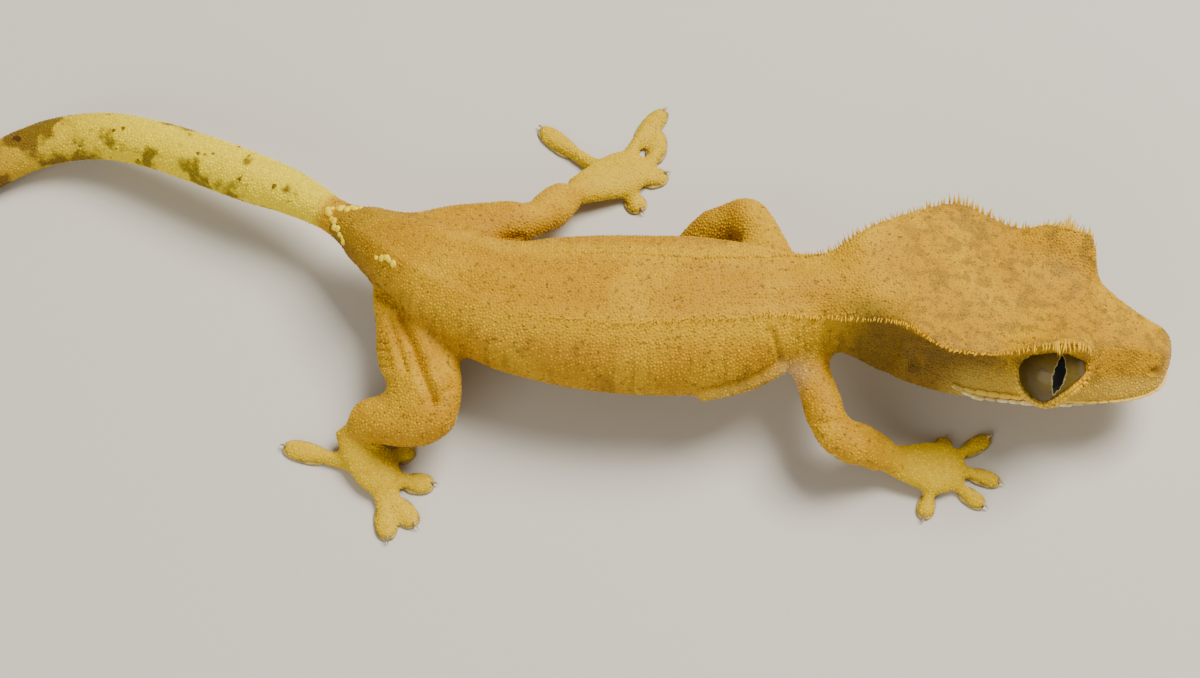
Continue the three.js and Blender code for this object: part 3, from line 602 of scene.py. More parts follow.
@dataclass
class Places:
    """Where points lie on the forms, one entry for each point."""

    form: Array
    along: Array
    turn: Array
    left: Array
    up: Array
    reach: Array
    rival: Array

    def of(self, pick: Array) -> "Places":
        """The places of some of the points."""
        return Places(*(getattr(self, key)[pick] for key in Places.__dataclass_fields__))


@dataclass
class Chart:
    """Finds the form that a point belongs to, and its place along and round that form.

    Attributes:
        gecko: the forms.
        step: distance between the samples on each form's line of centres.
        chunk: how many points are measured at a time.
        sheet_mm: millimetres of skin that the flat layout is wide.
        margin: gap between the forms' rectangles, as a share of the layout.
    """

    gecko: Gecko
    step: float = 1.0
    chunk: int = 6000
    sheet_mm: float = 200.0
    margin: float = 0.01

    def __post_init__(self) -> None:
        """Samples every form's centres, frames and sizes."""
        rows: list[tuple[Array, ...]] = []
        self.starts = [0]
        for n, loft in enumerate(self.gecko.lofts):
            t = np.linspace(0, loft.length, max(3, round(loft.length / self.step) + 1))
            centres = hermite(loft.keys, loft.centres, t)
            sizes = hermite(loft.keys, loft.sizes, t)
            rows.append((np.full(len(t), n), t, centres, *loft.frames(t), sizes))
            self.starts.append(self.starts[-1] + len(t))
        self.form, self.along, self.centre, self.ahead, self.left, self.up, self.sizes = (
            np.concatenate(column) for column in zip(*rows))
        self.sheets = self.lay_out()

    def lay_out(self) -> Array:
        """Rectangles of the flat layout, in rows: corner and size for each form, in shares."""
        sheets, x, y, tall = [], 0.0, 0.0, 0.0
        for loft in self.gecko.lofts:
            wide, high = loft.length / self.sheet_mm, 2 * np.pi * loft.sizes.mean() / self.sheet_mm
            if x + wide > 1:
                x, y, tall = 0.0, y + tall + self.margin, 0.0
            sheets.append((x, y, wide, high))
            x, tall = x + wide + self.margin, max(tall, high)
        return np.array(sheets)

    def flat(self, places: Places) -> Array:
        """Place of each point on the flat layout of the skin, as two shares."""
        sheet = self.sheets[places.form]
        lengths = np.array([loft.length for loft in self.gecko.lofts])[places.form]
        shares = np.stack([places.along / lengths, places.turn / (2 * np.pi) + 0.5], axis=1)
        return sheet[:, :2] + sheet[:, 2:] * np.clip(shares, 0, 1)

    def locate(self, points: Array) -> Places:
        """Places of points on the forms.

        Each sample of a form's centres measures a point as parts ahead, left and up, each
        divided by the form's size there. The least such distance picks the form and the
        place along it, and the next form's least distance is kept as its rival.

        Args:
            points: pose points.

        Returns:
            The places.
        """
        parts = [self.locate_some(points[n:n + self.chunk]) for n in range(0, len(points), self.chunk)]
        return Places(*(np.concatenate(column) for column in zip(*parts)))

    def locate_some(self, points: Array) -> tuple[Array, ...]:
        """Places of a few thousand points."""
        wide, high, deep = (self.sizes[:, n] for n in range(3))
        ahead, left, up = (points @ axis.T - np.einsum("ij,ij->i", self.centre, axis)
                           for axis in (self.ahead, self.left, self.up))
        reach = (left / wide) ** 2 + (up / np.where(up > 0, high, deep)) ** 2 + (ahead / wide) ** 2
        least = np.sqrt(np.minimum.reduceat(reach, self.starts[:-1], axis=1))
        best = reach.argmin(axis=1)
        each = np.arange(len(points))
        form = self.form[best]
        others = least.copy()
        others[each, form] = np.inf
        side, rise = left[each, best], up[each, best]
        return (form, self.along[best] + ahead[each, best], np.arctan2(side, rise), side, rise,
                least[each, form], others.min(axis=1))


class Look(Enum):
    """The finishes that the pieces take."""

    SKIN = "skin"
    TAIL = "tail_skin"
    FOOT = "foot_skin"
    EYE = "eye"
    CLAW = "claw"


class Node(Enum):
    """The nodes in use: the type, its fixed settings, and the output that is read."""

    PLACE = ("ShaderNodeTexCoord", {}, "Object")
    CARRIED = ("ShaderNodeAttribute", {}, "Fac")
    LAID_OUT = ("ShaderNodeUVMap", {}, "UV")
    SCALED = ("ShaderNodeMapping", {}, "Vector")
    PARTS = ("ShaderNodeSeparateXYZ", {}, "X")
    LENGTH = ("ShaderNodeVectorMath", {"operation": "LENGTH"}, "Value")
    CLOUD = ("ShaderNodeTexNoise", {"Roughness": 0.55}, "Fac")
    RISE = ("ShaderNodeMapRange", {"interpolation_type": "SMOOTHSTEP"}, "Result")
    SUM = ("ShaderNodeMath", {}, "Value")
    MIX = ("ShaderNodeMix", {"data_type": "RGBA"}, 2)
    BUMP = ("ShaderNodeBump", {}, "Normal")
    SHADER = ("ShaderNodeBsdfPrincipled", {}, "BSDF")
    SURFACE = ("ShaderNodeOutputMaterial", {}, None)
    MESH_IN = ("NodeGroupInput", {}, 0)
    MESH_OUT = ("NodeGroupOutput", {}, None)
    CHOSEN = ("GeometryNodeInputNamedAttribute", {"data_type": "FLOAT"}, "Attribute")
    SPREAD = ("GeometryNodeDistributePointsOnFaces", {"distribute_method": "POISSON"}, "Points")
    STORED = ("GeometryNodeStoreNamedAttribute", {"data_type": "FLOAT_VECTOR"}, 0)
    VERTICES = ("GeometryNodePointsToVertices", {}, 0)


def linear(code: str) -> tuple[float, float, float, float]:
    """Linear colour of an sRGB hex value."""
    parts = (int(code[n:n + 2], 16) / 255 for n in (1, 3, 5))
    red, green, blue = (p / 12.92 if p <= 0.04045 else ((p + 0.055) / 1.055) ** 2.4 for p in parts)
    return red, green, blue, 1.0


def add(tree: bpy.types.NodeTree, kind: Node, values: dict[str | int, object]) -> Socket | None:
    """Adds a node with its settings and links.

    Args:
        tree: the nodes that it joins.
        kind: which node it is.
        values: what each property and socket takes, by name or number. A socket takes a
            value of its own, or another node's output that feeds it.

    Returns:
        The output that is read from such a node.
    """
    code, fixed, output = kind.value
    node = tree.nodes.new(code)
    for name, value in {**fixed, **values}.items():
        if isinstance(value, Socket):
            tree.links.new(value, node.inputs[name])
        elif isinstance(name, str) and hasattr(node, name):
            setattr(node, name, value)
        else:
            node.inputs[name].default_value = value
    return None if output is None else node.outputs[output]


@dataclass
class Paint:
    """A material whose colours are laid one over the other.

    Attributes:
        name: the material's name.
        base: hex value of the lowest colour.
    """

    name: str
    base: str

    def __post_init__(self) -> None:
        """Starts the material with the lowest colour alone."""
        self.made = bpy.data.materials.new(self.name)
        self.made.use_nodes = True
        self.made.node_tree.nodes.clear()
        self.colour: Socket | tuple[float, ...] = linear(self.base)

    def put(self, kind: Node, values: dict[str | int, object] | None = None) -> Socket | None:
        """Adds a node to the material."""
        return add(self.made.node_tree, kind, values or {})

    def lay(self, code: str, value: Socket, low: float = 0.0, high: float = 1.0, top: float = 1.0,
            within: Socket | None = None) -> None:
        """Lays a colour over those so far.

        Args:
            code: hex value of the colour.
            value: the number that says where it lies.
            low: value up to which nothing of it shows.
            high: value from which it is fullest.
            top: its share where it is fullest.
            within: a mask that limits it.
        """
        share = self.put(Node.RISE, {"Value": value, "From Min": low, "From Max": high, "To Max": top})
        if within is not None:
            share = self.put(Node.SUM, {"operation": "MULTIPLY", 0: share, 1: within})
        self.colour = self.put(Node.MIX, {0: share, 6: self.colour, 7: linear(code)})

    def cloud(self, place: Socket, size_mm: float, detail: float) -> Socket:
        """Noise over metres whose patches are a real size across, with finer layers on it."""
        return self.put(Node.CLOUD, {"Vector": place, "Scale": 1 / (size_mm * MM), "Detail": detail})

    def finish(self, settings: dict[str | int, object]) -> bpy.types.Material:
        """The material, once its colour goes into a shader with these settings."""
        shader = self.put(Node.SHADER, {**settings, "Base Color": self.colour})
        self.put(Node.SURFACE, {"Surface": shader})
        return self.made


@dataclass(frozen=True)
class LivingSkin:
    """Granular gecko skin: tiny dry bead scales, so it is soft and matt with no clear gloss.

    The scales themselves carry the same colours, each one tone lighter or darker.

    Attributes:
        ochre: the main colour.
        light: pale patches along the back and flanks.
        umber: fine stripes across the body, speckles, and painted shade under the crest on the throat's
            sides, low on the flank and on the rump.
        grain: the darker scales' tone, and the painted shade on the skin between the scales.
        crown: grey-brown mottling of the head.
        jowl: lighter cheeks and sides of the snout, partly their paler skin and partly painted light where
            the bulging cheek catches the light.
        tail: pale yellow of the tail.
        aged: duller brown towards its tip.
        blotch: dark patches along the tail.
        foot: yellow of hands and feet.
        belly: pale underside.
        flush: pinkish cream of thin skin.
        stripe_mm: width of a stripe on the flank.
        stripe_ratio: that width as a share of the stripe's length.
        speckle_mm: width of a dark speckle. Real ones are half as wide and wouldn't show.
        scale_grain: how far the darkest scale goes to the darker tone.
        gap_painted_shade: how far the skin between the scales goes to the darker tone, which is painted shade
            in the gaps between the scales.
    """

    ochre: str = "#CE9A06"
    light: str = "#E2B40C"
    umber: str = "#6A541C"
    grain: str = "#A08E58"
    crown: str = "#927226"
    jowl: str = "#E4C24C"
    tail: str = "#FFE80A"
    aged: str = "#B68C20"
    blotch: str = "#50300C"
    foot: str = "#F2D210"
    belly: str = "#DDC25C"
    flush: str = "#E6C08A"
    stripe_mm: float = 0.75
    stripe_ratio: float = 0.16
    speckle_mm: float = 0.55
    scale_grain: float = 0.5
    gap_painted_shade: float = 0.42

    def material(self, name: str, scales: bool) -> bpy.types.Material:
        """The skin's material, or the same on its raised scales.

        Args:
            name: the material's name.
            scales: whether it goes on the raised scales, which vary in tone.

        Returns:
            The material.
        """
        paint = Paint(name, self.ochre)
        self.markings(paint)
        # The skin shows only between the scales, so its darker tone there is painted shade in the gaps.
        share: Socket | float = self.gap_painted_shade
        if scales:
            tone = paint.put(Node.CARRIED, {"attribute_name": "tone"})
            share = paint.put(Node.RISE, {"Value": tone, "To Max": self.scale_grain})
        paint.colour = paint.put(Node.MIX, {"blend_type": "MULTIPLY", 0: share, 6: paint.colour,
                                            7: linear(self.grain)})
        return paint.finish({"Roughness": 0.62, "Specular IOR Level": 0.2, "Subsurface Weight": 0.05,
                             "Subsurface Radius": (0.9, 0.6, 0.2), "Subsurface Scale": MM})

    def markings(self, paint: Paint) -> None:
        """Lays on the markings, by the masks that each point of the mesh carries and by noise.

        Args:
            paint: the material being painted.
        """
        place = paint.put(Node.PLACE)
        masks = {name: paint.put(Node.CARRIED, {"attribute_name": name}) for name in MASKS}
        chart = paint.put(Node.CARRIED, {"attribute_name": "chart"}).node.outputs["Vector"]
        paint.lay(self.light, paint.cloud(place, 9.0, 4.0), 0.42, 0.66, 0.75)
        paint.lay(self.light, masks["pale"], top=0.7)
        across = paint.put(Node.SCALED, {"Scale": (1.0, self.stripe_ratio, 1.0), "Vector": chart})
        stripes = paint.put(Node.CLOUD, {"Vector": across, "Scale": 1 / self.stripe_mm, "Detail": 1.0})
        paint.lay(self.umber, stripes, 0.48, 0.7, 0.42, masks["flank"])
        paint.lay(self.umber, paint.cloud(place, self.speckle_mm, 1.0), 0.6, 0.72, 0.6)
        paint.lay(self.crown, paint.cloud(place, 1.7, 6.0), 0.46, 0.6, 0.6, masks["crown"])
        # Painted shade: umber where the shade mask lies, for the shadow under the crest on the throat's
        # sides, low on the flank and on the rump.
        paint.lay(self.umber, masks["shade"], top=0.85)
        # Cheeks and sides of the snout lighter: partly their paler skin, partly painted light on the bulging
        # cheek.
        paint.lay(self.jowl, masks["jowl"], top=0.6)
        trunk, paint.colour = paint.colour, linear(self.tail)
        paint.lay(self.aged, masks["aged"], 0.1, 0.8)
        further = paint.put(Node.RISE, {"Value": masks["aged"], "From Max": 0.5, "To Max": 0.08})
        patch = paint.put(Node.SUM, {"operation": "ADD", 0: paint.cloud(place, 5.0, 3.0), 1: further})
        paint.lay(self.blotch, patch, 0.56, 0.66, 0.75)
        paint.lay(self.blotch, paint.cloud(place, 1.6, 1.0), 0.68, 0.74, 0.85)
        paint.colour = paint.put(Node.MIX, {0: masks["tail"], 6: trunk, 7: paint.colour})
        paint.lay(self.foot, masks["foot"], top=0.7)
        paint.lay(self.belly, masks["belly"], top=0.8)
        paint.lay(self.flush, masks["flush"], top=0.8)


@dataclass(frozen=True)
class PlainFinish:
    """A finish with one base colour that clouds over into a second.

    Attributes:
        base: the main colour.
        cloud: the second colour.
        size_mm: width of its patches.
        roughness: how matt it is.
        coat: weight of a clear wet coat.
    """

    base: str
    cloud: str
    size_mm: float
    roughness: float
    coat: float = 0.0

    def material(self, name: str) -> bpy.types.Material:
        """The material of this finish, with a grain a fifth as wide as its patches."""
        paint = Paint(name, self.base)
        place = paint.put(Node.PLACE)
        paint.lay(self.cloud, paint.cloud(place, self.size_mm, 3.0), 0.4, 0.65)
        grain = paint.cloud(place, self.size_mm * 0.2, 2.0)
        rise = paint.put(Node.BUMP, {"Strength": 0.3, "Distance": 0.08 * MM, "Height": grain})
        return paint.finish({"Roughness": self.roughness, "Coat Weight": self.coat,
                             "Coat Roughness": 0.05, "Normal": rise})


# Claw horn: a hard grown sheath, yellow-brown and glossy. Pad skin: dense rows of fine
# bristle that look olive and matt. Lip scales: smooth cream plates. Bead scales: enlarged
# bright yellow scales with a waxy look.
CLAW_HORN = PlainFinish("#B8A06A", "#8A734A", 0.8, 0.3, 0.3)
PAD_SKIN = PlainFinish("#B7A04A", "#8F7C3A", 0.9, 0.7)
LIP_CREAM = PlainFinish("#E6D698", "#C2A860", 0.7, 0.5)
BEAD_YELLOW = PlainFinish("#F2DC00", "#E8BE00", 0.8, 0.5)
MASKS = ("tail", "aged", "foot", "crown", "belly", "shade", "pale", "flush", "flank", "jowl")


@dataclass(frozen=True)
class WetEye:
    """Lidless gecko eye under its clear spectacle: olive iris, slit pupil, wet gloss.

    Attributes:
        iris: the iris near the pupil.
        rim: the iris at its edge.
        vein: darker branching lines on the iris.
        line: the thin pale edge of the pupil.
        pupil: the pupil itself.
        waist: half width of the pupil at its middle, as a share of the eye's.
        taper: how fast it narrows with the square of the height.
    """

    iris: str = "#6A5820"
    rim: str = "#3E3212"
    vein: str = "#33290F"
    line: str = "#C9BC82"
    pupil: str = "#060504"
    waist: float = 0.19
    taper: float = 0.5

    def material(self, name: str) -> bpy.types.Material:
        """The eye's material, drawn on its own flat coordinates about the pupil.

        How far a point lies inside the pupil is the waist, less the taper times the height
        squared, less the way aside, less a little noise that makes the edge wavy.

        Args:
            name: the material's name.

        Returns:
            The material.
        """
        paint = Paint(name, self.iris)
        around = paint.put(Node.LAID_OUT, {"uv_map": "iris"})
        across = paint.put(Node.PARTS, {"Vector": around})
        height = across.node.outputs["Y"]
        veins = paint.put(Node.SCALED, {"Scale": (1.0, 3.2, 1.0), "Vector": around})
        web = paint.put(Node.CLOUD, {"Vector": veins, "Scale": 2.0, "Detail": 5.0})
        paint.lay(self.rim, paint.put(Node.LENGTH, {0: around}), 0.35, 0.95)
        paint.lay(self.vein, web, 0.52, 0.68, 0.7)
        square = paint.put(Node.SUM, {"operation": "MULTIPLY", 0: height, 1: height})
        inside = paint.put(Node.SUM, {"operation": "MULTIPLY_ADD", 0: square, 1: -self.taper, 2: self.waist})
        wander = paint.put(Node.CLOUD, {"Vector": around, "Scale": 1 / 0.12, "Detail": 2.0})
        wave = paint.put(Node.RISE, {"Value": wander, "From Min": 0.3, "From Max": 0.7, "To Max": 0.05})
        aside = paint.put(Node.SUM, {"operation": "ABSOLUTE", 0: across})
        for less in (aside, wave):
            inside = paint.put(Node.SUM, {"operation": "SUBTRACT", 0: inside, 1: less})
        paint.lay(self.line, inside, -0.045, -0.02, 0.55)
        paint.lay(self.pupil, inside, -0.02, 0.01)
        return paint.finish({"Roughness": 0.35, "Specular IOR Level": 0.2, "Coat Weight": 0.3,
                             "Coat Roughness": 0.06, "Coat IOR": 1.3})


def new_mesh(name: str, points: Array, faces: Array) -> bpy.types.Object:
    """An object of points in metres and faces that all have the same number of corners.

    Args:
        name: the object's name.
        points: places in metres.
        faces: corner numbers, one row for each face.

    Returns:
        The object, linked to the scene and shaded smooth.
    """
    mesh = bpy.data.meshes.new(name)
    mesh.vertices.add(len(points))
    mesh.vertices.foreach_set("co", points.astype(np.float32).ravel())
    mesh.loops.add(faces.size)
    mesh.loops.foreach_set("vertex_index", faces.astype(np.int32).ravel())
    mesh.polygons.add(len(faces))
    mesh.polygons.foreach_set("loop_start", np.arange(0, faces.size, faces.shape[1], dtype=np.int32))
    mesh.polygons.foreach_set("use_smooth", np.ones(len(faces), bool))
    mesh.update(calc_edges=True)
    made = bpy.data.objects.new(name, mesh)
    bpy.context.scene.collection.objects.link(made)
    return made


def finish_piece(piece: bpy.types.Object, material: bpy.types.Material,
                 replaced: tuple[str, ...] = ()) -> bpy.types.Object:
    """Gives a piece its material, slot and body.

    Args:
        piece: the finished object.
        material: its material.
        replaced: the solids that it stands for.

    Returns:
        The piece.
    """
    piece.data.materials.append(material)
    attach(piece, "root")
    if replaced:
        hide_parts(*replaced)
    LOG.info("%s: %d faces", piece.name, len(piece.data.polygons))
    return piece


def carry(piece: bpy.types.Object, values: dict[str, Array]) -> None:
    """Stores a number, or a vector, for each point of a piece."""
    for name, value in values.items():
        kind, key = ("FLOAT", "value") if value.ndim == 1 else ("FLOAT_VECTOR", "vector")
        attribute = piece.data.attributes.new(name, kind, "POINT")
        attribute.data.foreach_set(key, value.astype(np.float32).ravel())


def small_piece(name: str, parts: list[tuple[Array, Array]],
                material: bpy.types.Material, chart: Chart | None = None) -> None:
    """One finished piece out of several small meshes.

    Args:
        name: the piece's name.
        parts: pose points and triangles of each.
        material: its material.
        chart: finds the skin's markings, where the piece carries them.
    """
    points, faces = merged(parts)
    piece = new_mesh(name, placed(points), faces)
    if chart is not None:
        carry(piece, Markings(chart.gecko).masks(points, chart.locate(points)))
    finish_piece(piece, material)


def vertex_normals(points: Array, faces: Array) -> Array:
    """Normals at points, as the sum of the normals of the faces round each."""
    a, b, c = (points[faces[:, n]] for n in (0, 1, 2))
    d = points[faces[:, -1]]
    flat = np.cross(c - a, d - b) if faces.shape[1] == 4 else np.cross(b - a, c - a)
    total = np.stack([np.bincount(faces.ravel(), np.repeat(flat[:, n], faces.shape[1]), len(points))
                      for n in range(3)], axis=1)
    return unit(total)


def relaxed(points: Array, faces: Array, weight: Array, rounds: int) -> Array:
    """Points drawn towards the mean of their neighbours, each by its weight.

    Args:
        points: places to smooth.
        faces: the mesh's faces.
        weight: share of the way each point moves in one round.
        rounds: how many times they move.

    Returns:
        The smoothed places.
    """
    ahead = np.roll(faces, -1, axis=1).ravel()
    here = faces.ravel()
    count = np.bincount(here, minlength=len(points))[:, None]
    for _ in range(rounds):
        total = np.stack([np.bincount(here, points[ahead, n], len(points)) for n in range(3)], axis=1)
        points = points + weight[:, None] * (total / count - points)
    return points


def distance_to_line(points: Array, line: Array) -> Array:
    """Distance from each point to a line of straight lengths."""
    best = np.full(len(points), np.inf)
    for start, end in zip(line[:-1], line[1:]):
        along = end - start
        share = np.clip((points - start) @ along / (along @ along), 0, 1)
        best = np.minimum(best, np.linalg.norm(points - start - share[:, None] * along, axis=1))
    return best


def part_of(places: Places, lofts: list[Loft], names: tuple[str, ...]) -> Array:
    """One for points on forms whose names start with one of the given words."""
    chosen = np.array([loft.name.startswith(names) for loft in lofts])
    return chosen[places.form].astype(float)


class Head:
    """Sizes of the head's features, in its own frame."""

    eye_at = np.array([16.3, 6.65, 0.7])
    eye_radius = 3.95
    lid_radius = 4.14
    opening_half = math.radians(73)
    opening_ahead = math.radians(-2)
    opening_above = math.radians(40)
    lower_lid_way = np.array([0.788, 0.471, -0.395])
    lower_lid_edge = 0.64
    lid_reach = (5.4, 4.6)
    lid_swell = 0.3
    under_eyeball = 0.4
    brow_reach = (5.9, 5.1)
    nostril_at = np.array([28.0, 3.25, 0.85])
    ear_at = np.array([1.2, 9.8, -1.2])
    ear_size = np.array([0.75, 1.0, 1.5])

    def opening_way(self) -> Array:
        """The direction that the middle of the left eye's opening faces."""
        return facing(self.opening_ahead, self.opening_above)

    def beyond_opening(self, way: Array) -> Array:
        """Angle from each direction to the lids' edge, below zero inside the opening.

        The opening is a round window cut off below and in front by the lower lid. Its edge
        is the greater of the angle from its middle less its half angle, and the angle over
        the lower lid's plane less that of the lid.

        Args:
            way: directions from the left eye's centre.

        Returns:
            The angles.
        """
        round_edge = np.arccos(np.clip(way @ self.opening_way(), -1, 1)) - self.opening_half
        lower_edge = np.arcsin(np.clip(way @ self.lower_lid_way, -1, 1)) - math.asin(self.lower_lid_edge)
        return np.maximum(round_edge, lower_edge)

    def lid_ball(self, side: int) -> tuple[Array, Array]:
        """Ball of skin about one eye, closed, in pose millimetres."""
        points, faces = closed_tube(self.lid_radius * ball_grid(40, 72))
        points = from_head(points + self.eye_at * (1, side, 1))
        return points, outward(points, faces)

    def near_lid(self, points: Array) -> Array:
        """One for points close to the lids, where they join the face."""
        local = in_head(points)
        local[:, 1] = np.abs(local[:, 1])
        reach = np.linalg.norm(local - self.eye_at, axis=1)
        return ramp(reach, *self.lid_reach)

    def lid_edge(self, count: int, beyond: float) -> Array:
        """Directions along the left eye's lid edge, moved out by an angle.

        On each of the half circles that fan out from the opening's middle, the last
        direction that is still inside the edge is taken.

        Args:
            count: how many directions to give.
            beyond: angle by which they lie outside the edge.

        Returns:
            Directions from the eye's centre.
        """
        axis = self.opening_way()
        first = unit(np.cross(axis, (0.0, 1.0, 0.2)))
        second = np.cross(axis, first)
        lean = np.linspace(0.2, self.opening_half + beyond, 240)
        ring = circle(count) @ np.stack([first, second])
        ways = np.cos(lean)[None, :, None] * axis + np.sin(lean)[None, :, None] * ring[:, None]
        inside = self.beyond_opening(ways) < beyond
        last = inside.shape[1] - 1 - inside[:, ::-1].argmax(axis=1)
        return ways[np.arange(count), last]


@dataclass
class Fold:
    """A crease in the skin along a line.

    Attributes:
        line: points of the line in pose millimetres, as seen from above where they have no height.
        depth: how far the skin sinks in, or rises where it is negative.
        width: half width of the crease.
    """

    line: list[tuple[float, ...]]
    depth: float
    width: float

    def sink(self, points: Array, normals: Array) -> Array:
        """How far each point sinks in: the depth times a bell of its distance to the line.

        Args:
            points: pose points of the skin.
            normals: its normals there.

        Returns:
            The distances.
        """
        line = np.array(self.line)
        flat = line.shape[1] == 2
        distance = distance_to_line(points[:, :line.shape[1]], line)
        shown = ramp(normals[:, 2], 0.0, 0.35) if flat else 1.0
        return self.depth * bump(distance, self.width) * shown


# Edge of the flank where it hangs over the right thigh
FLANK_EDGE = [(-28.0, 8.2, 8.6), (-26.0, 6.8, 8.9), (-23.3, 5.1, 9.2), (-20.9, 3.4, 9.2), (-18.9, 1.7, 9.0),
              (-17.3, -0.1, 8.8)]

# Loose skin that hangs in a pale roll along the flank, behind the right arm
LOOSE_ROLL = [(11.6, -6.9, 9.8), (13.6, -6.7, 10.0), (15.6, -6.2, 10.1), (18.1, -5.3, 10.5),
              (20.6, -4.2, 11.0)]

# Flank over the right thigh. The thigh's two long creases, the muscle that swells between
# them, and short wrinkles on its rear edge. Then knee, arm root, elbow, neck and shoulders.
FOLDS = [
    Fold(FLANK_EDGE, 0.9, 0.8),
    Fold(LOOSE_ROLL, -1.0, 0.7),
    Fold([(x, y - 0.1, z + 1.3) for x, y, z in LOOSE_ROLL], 0.3, 0.4),
    Fold([(-23.4, 3.4), (-22.7, 1.8), (-21.6, -0.7), (-20.0, -5.2), (-18.8, -7.8)], 0.9, 0.6),
    Fold([(-24.7, 3.6), (-24.2, 2.2), (-23.1, -1.3), (-22.2, -4.0)], 0.5, 0.4),
    Fold([(-21.6, 3.2), (-20.2, -1.4), (-18.6, -5.4)], -0.4, 1.3),
    Fold([(-26.6, 1.6), (-24.9, 0.2)], 0.45, 0.28),
    Fold([(-26.4, 0.3), (-24.6, -1.0)], 0.45, 0.28),
    Fold([(-26.2, -1.0), (-24.3, -2.2)], 0.42, 0.28),
    Fold([(-25.8, -2.3), (-24.0, -3.2)], 0.36, 0.28),
    Fold([(-16.6, -6.0), (-18.4, -7.6), (-20.6, -8.2)], 0.35, 0.4),
    Fold([(19.2, -2.2), (20.6, -4.2), (22.0, -5.4)], 0.5, 0.45),
    Fold([(25.2, -0.6), (25.8, -2.0), (26.4, -3.8)], 0.35, 0.9),
    Fold([(24.2, -10.2), (25.4, -10.6), (27.6, -10.2)], 0.3, 0.35),
    Fold([(-14.6, 12.6), (-12.0, 13.4), (-9.0, 13.8)], 0.5, 0.5),
    Fold([(19.2, 7.4), (21.0, 9.4), (23.2, 8.0)], 0.3, 0.5),
]


